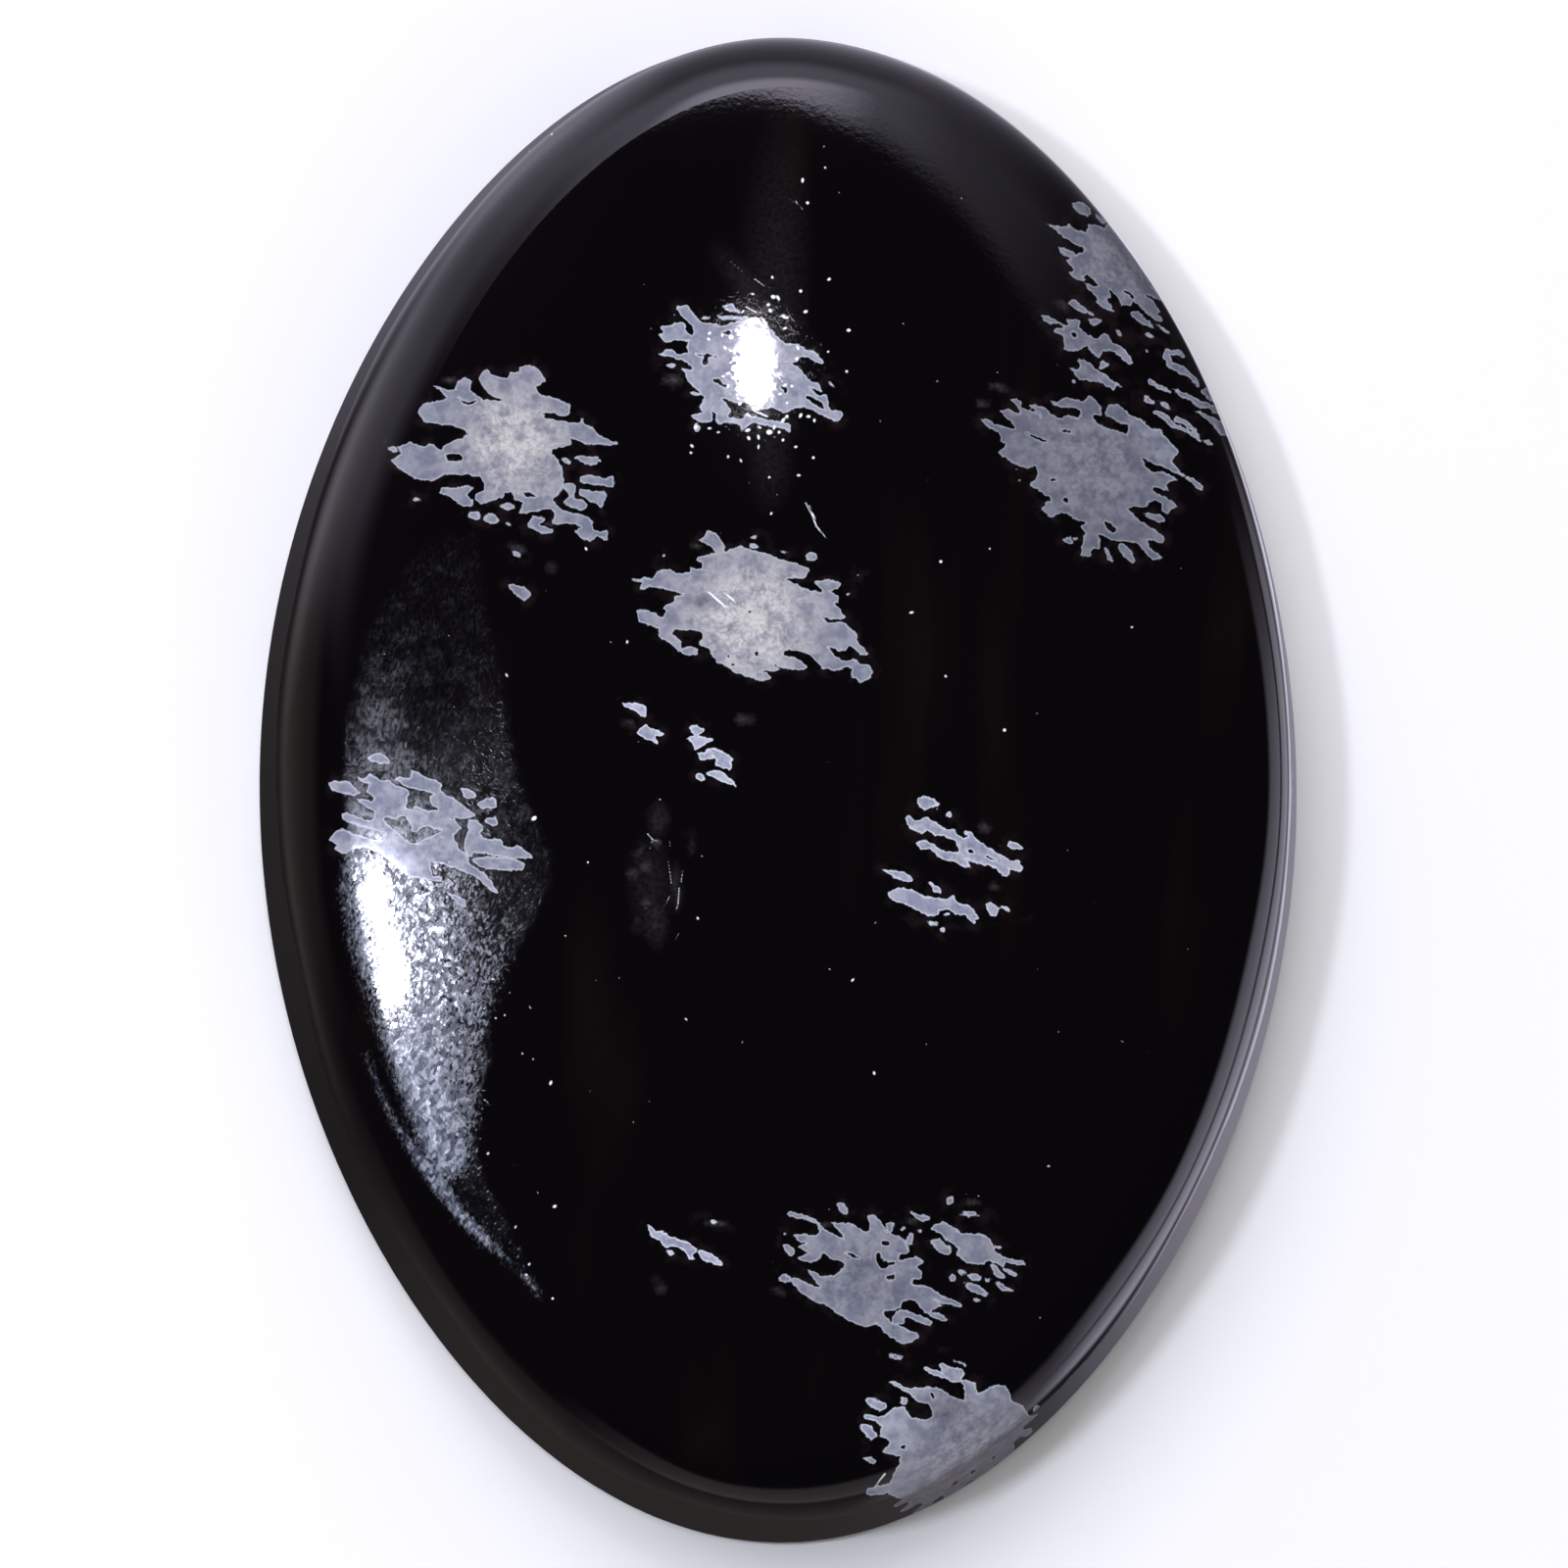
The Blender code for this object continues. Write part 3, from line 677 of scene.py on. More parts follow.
# The studio. A card is a soft reflector that the polish mirrors: azimuth (0 is +Y and 90 is +X), half
# width and side softness, lower and upper edge with their softness, all in degrees, radiance and tint.
COOL = (1.00, 0.95, 1.18)
NEUTRAL = (1.08, 0.95, 1.00)
WARM = (1.15, 0.96, 0.90)
STUDIO_DARK = (0.030, 0.028, 0.032)
BACKDROP = (0.86, 0.86, 0.86, 1.0)
CARDS = {
    "behind": (0, 35, 14, -75, 55.3, 10, 0.8, 0.50, COOL),
    "behind_glow": (-2, 16, 16, 20, 55.7, 14, 0.6, 1.05, COOL),
    "behind_edge": (1, 9, 9, 45, 55.9, 5, 0.4, 3.0, COOL),
    "upper_left": (-46, 12, 18, -50, 42, 14, 20, 0.68, COOL),
    "left_foot": (-76, 16, 14, -60, 10, 8, 14, 0.13, WARM),
    "beyond": (62, 34, 14, -89, -66, 1, 6, 0.9, COOL),
    "right_upper": (96, 20, 10, -34, -4, 3, 6, 0.95, COOL),
    "right_lower": (92, 24, 10, -60, -39, 4, 3, 0.80, COOL),
    "lower_right": (122, 24, 14, -58, -8, 5, 8, 0.28, COOL),
    "front": (172, 36, 16, -34, -4, 3, 5, 0.34, NEUTRAL),
    "front_foot": (-170, 60, 14, -80, -30, 8, 6, 0.07, WARM),
}


# Camera
def camera_axes():
    """The camera's right and up directions."""
    right = Vector((0.0, 1.0, 0.0)).cross(VIEW_DIRECTION).normalized()
    return right, VIEW_DIRECTION.cross(right)


def camera_place():
    """Where the camera stands so that the middle of the stone's girdle meets its pixel."""
    right, up = camera_axes()
    middle = (LOW + HIGH) / 2
    girdle = Vector((middle.x, middle.y, LOW.z + BACK_BEVEL_HEIGHT))
    offset_right = (PHOTO_SIZE / 2 - STONE_CENTRE_PIXEL[0]) * MM_PER_PIXEL * MM
    offset_up = (STONE_CENTRE_PIXEL[1] - PHOTO_SIZE / 2) * MM_PER_PIXEL * MM
    return girdle + right * offset_right + up * offset_up + VIEW_DIRECTION * CAMERA_DISTANCE


CAMERA_PLACE = camera_place()
CAMERA_RIGHT, CAMERA_UP = camera_axes()
PIXELS_PER_SLOPE = CAMERA_DISTANCE / (MM_PER_PIXEL * MM)


def facing(right, backward):
    """The turn of a camera or lamp that looks away from backward, with its X axis to the right."""
    return Matrix((right, backward.cross(right), backward)).transposed().to_euler()


def make_camera():
    data = bpy.data.cameras.new("photo_camera")
    data.sensor_width = SENSOR_WIDTH
    data.lens = SENSOR_WIDTH * PIXELS_PER_SLOPE / PHOTO_SIZE
    data.clip_start = 0.01
    camera = bpy.data.objects.new("photo_camera", data)
    camera.location = CAMERA_PLACE
    camera.rotation_euler = facing(CAMERA_RIGHT, VIEW_DIRECTION)
    bpy.context.scene.collection.objects.link(camera)
    bpy.context.scene.camera = camera


def photo_pixels(places):
    """Where points of the scene appear in the photograph."""
    rel = places - np.array(CAMERA_PLACE)
    depth = -rel @ np.array(VIEW_DIRECTION)
    across = rel @ np.array(CAMERA_RIGHT) / depth
    down = -rel @ np.array(CAMERA_UP) / depth
    return PHOTO_SIZE / 2 + PIXELS_PER_SLOPE * np.stack([across, down], axis=1)


# Surface, by the solid's formulas
def outline_scale(turn):
    quarter = ((turn % math.tau) // (math.pi / 2)).astype(int) % 4
    return 1.0 - QUARTER_FLATS[quarter] * np.sin(2.0 * turn) ** 2


def outline_point(turn):
    scale = outline_scale(turn)
    return np.stack([WIDTH / 2 * scale * np.cos(turn), LENGTH / 2 * scale * np.sin(turn)], axis=1)


def outline_normal(turn):
    near = 0.001
    run = outline_point(turn + near) - outline_point(turn - near)
    run /= np.linalg.norm(run, axis=1)[:, None]
    return np.stack([run[:, 1], -run[:, 0]], axis=1)


def inset_point(turn, inset):
    return outline_point(turn) - outline_normal(turn) * np.reshape(inset, (-1, 1))


def dome_height(points):
    across = points[:, 0] / (WIDTH / 2)
    along = points[:, 1] / (LENGTH / 2)
    reach = np.hypot(across, along) / outline_scale(np.arctan2(along, across))
    return HEIGHT - DOME_DROP * reach**2


def bezier(a, b, c, d, share):
    rest = 1.0 - share
    return rest**3 * a + 3 * rest**2 * share * b + 3 * rest * share**2 * c + share**3 * d


def wall_top(turn):
    """The height at which the ground wall meets the polished shoulder."""
    waves = sum(size * np.cos(count * (turn - math.radians(crest))) for count, crest, size in WAVES)
    return WALL_TOP + waves


def rim_place(turn, offset):
    """Points of the shoulder and wall: offset 0 is the dome's edge and RIM_SPAN the girdle."""
    slope_step = 0.01 * MM
    top = wall_top(turn)
    wall_inset = (top - BACK_BEVEL_HEIGHT) * math.tan(WALL_DRAFT)
    dome_edge = dome_height(inset_point(turn, SHOULDER_WIDTH))
    dome_slope = (dome_height(inset_point(turn, SHOULDER_WIDTH + slope_step)) - dome_edge) / slope_step
    wall_pull = SHOULDER_WALL_PULL * (dome_edge - top)
    dome_pull = SHOULDER_DOME_PULL * (SHOULDER_WIDTH - wall_inset)
    share = np.maximum(1.0 - offset / SHOULDER_SPAN, 0.0)
    inset = bezier(
        wall_inset,
        wall_inset + wall_pull * math.tan(WALL_DRAFT),
        SHOULDER_WIDTH - dome_pull,
        SHOULDER_WIDTH,
        share,
    )
    height = bezier(top, top + wall_pull, dome_edge - dome_pull * dome_slope, dome_edge, share)
    drop = np.maximum(offset - SHOULDER_SPAN, 0.0) / WALL_SPAN * (top - BACK_BEVEL_HEIGHT)
    inset = inset - drop * math.tan(WALL_DRAFT)
    return np.column_stack([inset_point(turn, inset), height - drop])


def rim_normal(turn, offset):
    near_turn = 0.002
    near_offset = 0.01 * MM
    around = rim_place(turn + near_turn, offset) - rim_place(turn - near_turn, offset)
    outward = rim_place(turn, offset + near_offset) - rim_place(turn, offset - near_offset)
    return unit(np.cross(outward, around))


def dome_normal(points):
    near = 0.02 * MM
    step_x = np.array([near, 0.0])
    step_y = np.array([0.0, near])
    slope_x = (dome_height(points + step_x) - dome_height(points - step_x)) / (2 * near)
    slope_y = (dome_height(points + step_y) - dome_height(points - step_y)) / (2 * near)
    return unit(np.column_stack([-slope_x, -slope_y, np.ones(len(points))]))


def unit(vectors):
    return vectors / np.linalg.norm(vectors, axis=1)[:, None]


def even_turns(count, shift=0.0):
    """Turns spaced evenly along the outline, with the four ends of the axes among them at shift 0."""
    fine = np.linspace(0.0, math.tau, OUTLINE_STEPS + 1)
    steps = np.linalg.norm(np.diff(outline_point(fine), axis=0), axis=1)
    travelled = np.concatenate([[0.0], np.cumsum(steps)])
    quarters = travelled[:: OUTLINE_STEPS // 4]
    wanted = np.interp((np.arange(count) + shift) / count * 4, np.arange(5), quarters)
    return np.interp(wanted, travelled, fine)


# Candidate points are the rows of a table with these columns: x and y in the plan, the place, the
# normal, the pixel that the drawing is read at, and how far down the rim from the dome's edge
PLAN = slice(0, 2)
PLACE = slice(2, 5)
NORMAL = slice(5, 8)
PIXEL = slice(8, 10)
DOWN = 10


def dome_candidates(spacing):
    """A triangular grid of points over the dome."""
    rows = np.arange(-LENGTH / 2, LENGTH / 2, spacing * ROW_STEP)
    columns = np.arange(-WIDTH / 2, WIDTH / 2, spacing)
    x, y = np.meshgrid(columns, rows)
    x = x + (np.arange(len(rows)) % 2)[:, None] * spacing / 2
    points = np.column_stack([x.ravel(), y.ravel()])
    edge = inset_point(np.linspace(0.0, math.tau, EDGE_STEPS + 1), SHOULDER_WIDTH)
    edge_turns = np.unwrap(np.arctan2(edge[:, 1], edge[:, 0]))
    turns = np.arctan2(points[:, 1], points[:, 0]) % math.tau
    reach = np.interp(turns, edge_turns, np.hypot(edge[:, 0], edge[:, 1]))
    points = points[np.hypot(points[:, 0], points[:, 1]) < reach - spacing / 2]
    places = np.column_stack([points, dome_height(points)])
    down = np.zeros(len(points))
    return np.column_stack([points, places, dome_normal(points), photo_pixels(places), down])


def rim_candidates(spacing, offsets=None, count=None):
    """Staggered rings of points down the shoulder and the wall."""
    if offsets is None:
        offsets = np.arange(0.0, RIM_SPAN - spacing / 2, spacing * ROW_STEP)
    if count is None:
        count = 4 * round(math.pi * (WIDTH + LENGTH) / 2 / spacing / 4)
    turns = [even_turns(count, (row % 2) / 2) for row in range(len(offsets))]
    turn = np.concatenate(turns)
    offset = np.repeat(offsets, count)
    plan = inset_point(turn, SHOULDER_WIDTH - offset)
    places = rim_place(turn, offset)
    above_wall = rim_place(turn, np.minimum(offset, SHOULDER_SPAN))
    down_wall = np.maximum(offset - SHOULDER_SPAN, 0.0) / (MM_PER_PIXEL * MM)
    outward = outline_normal(turn) * np.array([1.0, -1.0]) * down_wall[:, None]
    drawing_place = photo_pixels(above_wall) + outward
    return np.column_stack([plan, places, rim_normal(turn, offset), drawing_place, offset])


# Drawing
def rounded(outline):
    """A closed outline with soft corners: each side gets two more points on a smooth curve."""
    tension = 0.28
    here = np.array(outline, float)
    before, after, beyond = np.roll(here, 1, 0), np.roll(here, -1, 0), np.roll(here, -2, 0)
    start_pull = here + (after - before) * tension / 3
    end_pull = after - (beyond - here) * tension / 3
    points = [bezier(here, start_pull, end_pull, after, share) for share in (0.0, 1 / 3, 2 / 3)]
    return np.stack(points, axis=1).reshape(-1, 2)


def depth_in_outline(pixels, outline):
    """How deep each pixel lies inside a closed outline, negative outside."""
    corners = rounded(outline)
    nearest = np.full(len(pixels), FAR**2)
    inside = np.zeros(len(pixels), bool)
    for start, end in zip(corners, np.roll(corners, -1, 0)):
        side = end - start
        rel = pixels - start
        share = np.clip(rel @ side / max(side @ side, 1e-9), 0.0, 1.0)
        gap = rel - share[:, None] * side
        nearest = np.minimum(nearest, (gap**2).sum(axis=1))
        crosses = (rel[:, 1] < 0) != (rel[:, 1] < side[1])
        inside ^= crosses & (rel[:, 0] * side[1] < rel[:, 1] * side[0]) ^ (crosses & (side[1] < 0))
    return np.where(inside, 1.0, -1.0) * np.sqrt(nearest)


def depth_in_speck(pixels, speck):
    x, y, half_length, half_width, tilt = speck
    turn = math.radians(tilt)
    rel = pixels - (x, y)
    along = rel @ (math.cos(turn), math.sin(turn)) / half_length
    across = rel @ (-math.sin(turn), math.cos(turn)) / half_width
    return np.clip((1.0 - np.hypot(along, across)) * half_width, -FAR, FAR)


def depth_in_stroke(pixels, stroke):
    best = np.full(len(pixels), -FAR)
    for start, end in zip(stroke, stroke[1:]):
        side = np.subtract(end[:2], start[:2])
        rel = pixels - start[:2]
        share = np.clip(rel @ side / (side @ side), 0.0, 1.0)
        reach = start[2] + share * (end[2] - start[2])
        best = np.maximum(best, reach - np.linalg.norm(rel - share[:, None] * side, axis=1))
    return best


def lay_on(depth, pixels, corners, measure, shape, keep=np.maximum):
    """Adds one shape to the depths of the pixels near it."""
    low = np.min(corners, axis=0) - FAR
    high = np.max(corners, axis=0) + FAR
    near = np.flatnonzero(((pixels > low) & (pixels < high)).all(axis=1))
    depth[near] = keep(depth[near], measure(pixels[near], shape))


def speck_corners(speck):
    reach = max(speck[2:4])
    return [(speck[0] - reach, speck[1] - reach), (speck[0] + reach, speck[1] + reach)]


def flake_depth(pixels):
    depth = np.full(len(pixels), -FAR)
    for flake in SNOWFLAKES.values():
        for body in flake["bodies"]:
            lay_on(depth, pixels, body, depth_in_outline, body)
        for gap in flake.get("gaps", []):
            lay_on(depth, pixels, gap, lambda p, s: -depth_in_outline(p, s), gap, np.minimum)
        for stroke in flake.get("strokes", []):
            lay_on(depth, pixels, [point[:2] for point in stroke], depth_in_stroke, stroke)
        for speck in flake.get("specks", []):
            lay_on(depth, pixels, speck_corners(speck), depth_in_speck, speck)
        for pit in flake.get("pits", []):
            lay_on(depth, pixels, speck_corners(pit), lambda p, s: -depth_in_speck(p, s), pit, np.minimum)
    return depth


def glint_depth(pixels):
    depth = np.full(len(pixels), -FAR)
    for scratch in SCRATCHES:
        lay_on(depth, pixels, [point[:2] for point in scratch], depth_in_stroke, scratch)
    for speck in dust_and_glint_specks():
        lay_on(depth, pixels, speck_corners(speck), depth_in_speck, speck)
    return depth


def dust_and_glint_specks():
    """The drawn dust and painted glints, with fainter dust all over the dome, as small uneven specks."""
    random = np.random.default_rng(DUST_SEED)
    faint = random.uniform(*FAINT_DUST_AREA, (FAINT_DUST, 2))
    reach = random.uniform(*FAINT_DUST_REACH, FAINT_DUST)
    on_dome = np.hypot(*((faint - STONE_CENTRE_PIXEL) / DOME_REACH).T) < 1
    dust = np.vstack([DUST_AND_GLINTS, np.column_stack([faint, reach])[on_dome]])
    stretch = random.uniform(*DUST_STRETCH, len(dust))
    tilt = random.uniform(0.0, 180.0, len(dust))
    return [(x, y, reach * a, reach / math.sqrt(a), t) for (x, y, reach), a, t in zip(dust, stretch, tilt)]


def ripple(pixels, wavelength, seed):
    """Smooth random values between -1 and 1 that change over about one wavelength."""
    side = 256
    values = np.random.default_rng(seed).uniform(-1.0, 1.0, (side, side))
    grid = pixels / wavelength
    cell = np.floor(grid).astype(int)
    blend = grid - cell
    blend = blend**2 * (3 - 2 * blend)
    x, y = cell[:, 0] % side, cell[:, 1] % side
    right, below = (x + 1) % side, (y + 1) % side
    upper = values[y, x] * (1 - blend[:, 0]) + values[y, right] * blend[:, 0]
    lower = values[below, x] * (1 - blend[:, 0]) + values[below, right] * blend[:, 0]
    return upper * (1 - blend[:, 1]) + lower * blend[:, 1]


def ragged(pixels):
    """The pixels pushed about a little, so that the drawn edges run unevenly as the crystals do."""
    moved = pixels.copy()
    for seed, (wavelength, size) in enumerate(RAGGEDNESS):
        moved[:, 0] += size * ripple(pixels, wavelength, 2 * seed)
        moved[:, 1] += size * ripple(pixels, wavelength, 2 * seed + 1)
    return moved


def core_weight(pixels):
    weight = np.zeros(len(pixels))
    for flake in SNOWFLAKES.values():
        x, y, reach, strength, _ = flake["core"]
        distance = np.linalg.norm(pixels - (x, y), axis=1)
        weight = np.maximum(weight, strength * np.exp(-((distance / reach) ** 2)))
    return weight


def lightness(pixels):
    """The lightness of the flake whose core is nearest, changed by the spots."""
    middles = np.array([flake["core"][:2] for flake in SNOWFLAKES.values()])
    levels = np.array([flake["core"][4] for flake in SNOWFLAKES.values()])
    squares = [((pixels - middle) ** 2).sum(axis=1) for middle in middles]
    return levels[np.argmin(squares, axis=0)] * (1.0 + spots(pixels, FLAKE_SPOTS))


def star_direction(pixels):
    """From the nearest flake's core: the direction as x and y, and the distance."""
    best = np.full(len(pixels), 1e9)
    star = np.zeros((len(pixels), 3))
    for flake in SNOWFLAKES.values():
        rel = pixels - flake["core"][:2]
        distance = np.maximum(np.linalg.norm(rel, axis=1), 1.0)
        nearer = distance < best
        best[nearer] = distance[nearer]
        star[nearer, :2] = rel[nearer] / distance[nearer, None]
        star[nearer, 2] = distance[nearer] / STAR_REACH
    return star


def smoke_and_sheen_weight(pixels):
    weight = np.zeros(len(pixels))
    for x, y, half_length, half_width, tilt, strength in SMOKE_AND_SHEEN:
        depth = depth_in_speck(pixels, (x, y, half_length, half_width, tilt)) / half_width
        weight = np.maximum(weight, strength * np.clip(depth * SMOKE_AND_SHEEN_RISE, 0.0, 1.0))
    return weight


def along_table(values, table):
    """What a table of pairs gives for the values, in straight lines between its rows."""
    return np.interp(values, *zip(*table))


def worn_weight(pixels):
    """The dulled patch: crisp on its right side, fading out on its left, strongest low down."""
    x, y = pixels.T
    depth = np.full(len(pixels), -FAR)
    lay_on(depth, pixels, WORN_PATCH, depth_in_outline, WORN_PATCH)
    crisp = np.clip(depth / WORN_EDGE + 0.5, 0.0, 1.0)
    fade = np.clip((x - along_table(y, WORN_LEFT_SIDE)) / WORN_FADE, 0.0, 1.0)
    strength = along_table(y, WORN_STRENGTH)
    return crisp * fade * np.clip(strength + spots(pixels, WORN_SPOTS), 0.0, 1.0)


def spots(pixels, table):
    """The sum of soft spots: centre, reach across and down, change."""
    total = np.zeros(len(pixels))
    for x, y, reach_x, reach_y, change in table:
        across, down = ((pixels - (x, y)) / (reach_x, reach_y)).T
        total += change * np.exp(-(across**2) - down**2)
    return total


def crushed_weight(pixels):
    """Where the polish is broken into shards, thinning out over the last few pixels."""
    depth = np.full(len(pixels), -FAR)
    band = np.full(len(pixels), -FAR)
    lay_on(depth, pixels, CRUSHED_PATCH, depth_in_outline, CRUSHED_PATCH)
    lay_on(band, pixels, [point[:2] for point in CRUSHED_BAND], depth_in_stroke, CRUSHED_BAND)
    inside = np.maximum(depth / PATCH_FADE[0] + PATCH_FADE[1], band / BAND_FADE[0] + BAND_FADE[1])
    aside = pixels[:, 0] - along_table(pixels[:, 1], CRUSHED_CORE)
    left = np.maximum(1.0 + spots(pixels, CRUSHED_SPOTS), LEAST_CRUSHED)
    return np.clip(inside, 0.0, 1.0) * along_table(aside, CRUSHED_THINNING) * left


def pitted_weight(pixels):
    """The faintly uneven polish round the upper highlight, which frays its edge."""
    return np.exp(-((np.linalg.norm(pixels - HIGHLIGHT_UPPER, axis=1) / PITTED_REACH) ** 2))


# Mesh
def stone_points():
    """Points close together along the markings' edges and further apart elsewhere."""
    chosen = []
    reached = 0.0
    for spacing, reach in SPACINGS:
        table = np.vstack([dome_candidates(spacing), rim_candidates(spacing)])
        pixels = table[:, PIXEL]
        near = np.minimum(np.abs(flake_depth(ragged(pixels))), np.abs(glint_depth(pixels)))
        near = np.where(crushed_weight(pixels) > 0.0, np.minimum(near, SPACINGS[0][1]), near)
        chosen.append(table[(near >= reached) & (near < reach)])
        reached = reach
    girdle = rim_candidates(None, np.array([RIM_SPAN]), GIRDLE_POINTS)
    table = np.vstack(chosen)
    top = np.argmin(np.hypot(table[:, 0], table[:, 1]))
    table[top, :8] = (0.0, 0.0, 0.0, 0.0, HEIGHT, 0.0, 0.0, 1.0)
    return np.vstack([girdle, table])


def triangles(plan):
    """The Delaunay triangles of the plan's points, in millimetres so that no two points merge."""
    jitter = np.random.default_rng(JITTER_SEED).uniform(-1.0, 1.0, plan.shape) * JITTER * SPACINGS[0][0]
    jitter[:GIRDLE_POINTS] = 0.0
    points = [Vector(point) for point in (plan + jitter) / MM]
    result = delaunay_2d_cdt(points, [], [], 0, 1e-6)
    source = [group[0] for group in result[3]]
    return [tuple(source[corner] for corner in face) for face in result[2]]


def back_rings():
    """The girdle's turns again on the broken edge's inner side, where the flat back begins."""
    turns = even_turns(GIRDLE_POINTS)
    edge = inset_point(turns, BACK_BEVEL_WIDTH)
    return turns, np.column_stack([edge, np.zeros(len(edge))])


def make_stone():
    table = stone_points()
    turns, back = back_rings()
    faces = triangles(table[:, PLAN])
    top_faces = len(faces)
    first_back = len(table)
    for i in range(GIRDLE_POINTS):
        beside = (i + 1) % GIRDLE_POINTS
        faces.append((first_back + i, first_back + beside, beside, i))
    faces.append(tuple(reversed(range(first_back, first_back + GIRDLE_POINTS))))
    mesh = bpy.data.meshes.new("polished_stone")
    places = np.vstack([table[:, PLACE], back])
    mesh.from_pydata(places.tolist(), [], faces)
    mesh.update()
    add_drawing(mesh, table)
    add_bake_map(mesh, table, back, top_faces)
    add_normals(mesh, table, turns, top_faces)
    mesh.materials.append(polished_obsidian())
    stone = bpy.data.objects.new("polished_stone", mesh)
    bpy.context.scene.collection.objects.link(stone)
    return stone


def add_drawing(mesh, table):
    """What the material reads at each vertex: depths in pixels and weights from 0 to 1.

    Each layer has its values for the table's points and one value for the back's edge.
    """
    pixels = table[:, PIXEL]
    rough_pixels = ragged(pixels)
    flake = flake_depth(rough_pixels)
    glass = np.clip(0.5 - flake / 2.0, 0.0, 1.0)
    layers = {
        "flake": (flake, -FAR),
        "glint": (glint_depth(pixels), -FAR),
        "core": (core_weight(pixels), 0.0),
        "lightness": (lightness(pixels), BACK_LIGHTNESS),
        "smoke_and_sheen": (smoke_and_sheen_weight(pixels), 0.0),
        "worn": (worn_weight(rough_pixels) * (WORN_ON_FLAKES + (1.0 - WORN_ON_FLAKES) * glass), 0.0),
        "crushed": (crushed_weight(pixels) * glass, 0.0),
        "pitted": (pitted_weight(pixels), 0.0),
        "down": (table[:, DOWN] / MM, RIM_SPAN / MM),
        "back": (np.zeros(len(pixels)), 1.0),
        "unseen": (unseen_depth(table), 1.0),
    }
    for name, (values, rest) in layers.items():
        attribute = mesh.attributes.new(name, "FLOAT", "POINT")
        full = np.full(len(mesh.vertices), rest, np.float32)
        full[: len(values)] = values
        if name == "flake":
            full[len(values):] = values[:GIRDLE_POINTS]
        attribute.data.foreach_set("value", full)
    star = np.zeros((len(mesh.vertices), 3), np.float32)
    star[: len(pixels)] = star_direction(pixels)
    mesh.attributes.new("star", "FLOAT_VECTOR", "POINT").data.foreach_set("vector", star.ravel())


def unseen_depth(table):
    """How far a point lies inside the part of the wall that faces away from the camera."""
    azimuth = np.degrees(np.arctan2(table[:, 0], table[:, 1]))
    aside = (UNSEEN_HALF_WIDTH - np.abs(azimuth - UNSEEN_MIDDLE)) / UNSEEN_SIDE
    below = (table[:, DOWN] - SHOULDER_SPAN) / WALL_SPAN - UNSEEN_TOP
    return np.clip(np.minimum(aside, below), -1.0, 1.0) * UNSEEN_DEPTH / UNSEEN_SCALE


def add_bake_map(mesh, table, back, top_faces):
    """The plan laid over most of the map, with the back at a smaller scale beside it."""
    border = 0.02
    plan_length = LENGTH - 2 * SHOULDER_WIDTH + 2 * RIM_SPAN
    plan_width = WIDTH - 2 * SHOULDER_WIDTH + 2 * RIM_SPAN
    scale = (1.0 - 2 * border) / plan_length
    top_map = table[:, PLAN] * scale + (border + plan_width * scale / 2, 0.5)
    back_left = 2 * border + plan_width * scale
    back_scale = (1.0 - border - back_left) / WIDTH
    back_middle = (back_left + WIDTH * back_scale / 2, 0.5)
    back_map = np.vstack([table[:, PLACE][:, 0:2], back[:, 0:2]]) * back_scale + back_middle
    top_map = np.vstack([top_map, np.zeros((len(back), 2))])
    corners = loop_vertices(mesh)
    on_top = loop_faces(mesh) < top_faces
    layer = mesh.uv_layers.new(name="OFBake")
    places = np.where(on_top[:, None], top_map[corners], back_map[corners])
    layer.data.foreach_set("uv", places.astype(np.float32).ravel())


def loop_vertices(mesh):
    corners = np.zeros(len(mesh.loops), int)
    mesh.loops.foreach_get("vertex_index", corners)
    return corners


def loop_faces(mesh):
    sizes = np.zeros(len(mesh.polygons), int)
    mesh.polygons.foreach_get("loop_total", sizes)
    return np.repeat(np.arange(len(sizes)), sizes)


def add_normals(mesh, table, turns, top_faces):
    """Exact normals, so that the polish reflects without a facet showing."""
    mesh.shade_smooth()
    corners = loop_vertices(mesh)
    faces = loop_faces(mesh)
    top = np.vstack([table[:, NORMAL], np.zeros((GIRDLE_POINTS, 3))])
    outward = outline_normal(turns) * BACK_BEVEL_HEIGHT
    bevel = unit(np.column_stack([outward, np.full(len(turns), -BACK_BEVEL_WIDTH)]))
    bevel_at = np.zeros_like(top)
    bevel_at[:GIRDLE_POINTS] = bevel
    bevel_at[len(table):] = bevel
    normals = np.where((faces < top_faces)[:, None], top[corners], bevel_at[corners])
    normals[faces == faces[-1]] = (0.0, 0.0, -1.0)
    mesh.normals_split_custom_set(normals.tolist())


# Materials
def add_node(tree, kind, inputs, **settings):
    """One shader node. An input is a value or the output socket that feeds it."""
    node = tree.nodes.new(kind)
    for name, value in settings.items():
        setattr(node, name, value)
    for name, value in inputs.items():
        if isinstance(value, bpy.types.NodeSocket):
            tree.links.new(value, node.inputs[name])
        else:
            node.inputs[name].default_value = value
    return node


def attribute(tree, name, output="Fac"):
    return add_node(tree, "ShaderNodeAttribute", {}, attribute_name=name).outputs[output]


def combine(tree, operation, first, second):
    return add_node(tree, "ShaderNodeMath", {0: first, 1: second}, operation=operation).outputs[0]


def spread(tree, value, low, high, to_low=0.0, to_high=1.0):
    """A smooth step of the value from low to high."""
    inputs = {"Value": value, "From Min": low, "From Max": high, "To Min": to_low, "To Max": to_high}
    return add_node(tree, "ShaderNodeMapRange", inputs, interpolation_type="SMOOTHSTEP").outputs[0]


def mixed(tree, share, first, second, blend="MIX"):
    """The mix of two colours by a share."""
    inputs = {0: share, 6: first, 7: second}
    return add_node(tree, "ShaderNodeMix", inputs, data_type="RGBA", blend_type=blend).outputs[2]


def vector(tree, operation, first, second):
    node = add_node(tree, "ShaderNodeVectorMath", {0: first, 1: second}, operation=operation)
    return node.outputs["Value" if operation == "DOT_PRODUCT" else "Vector"]


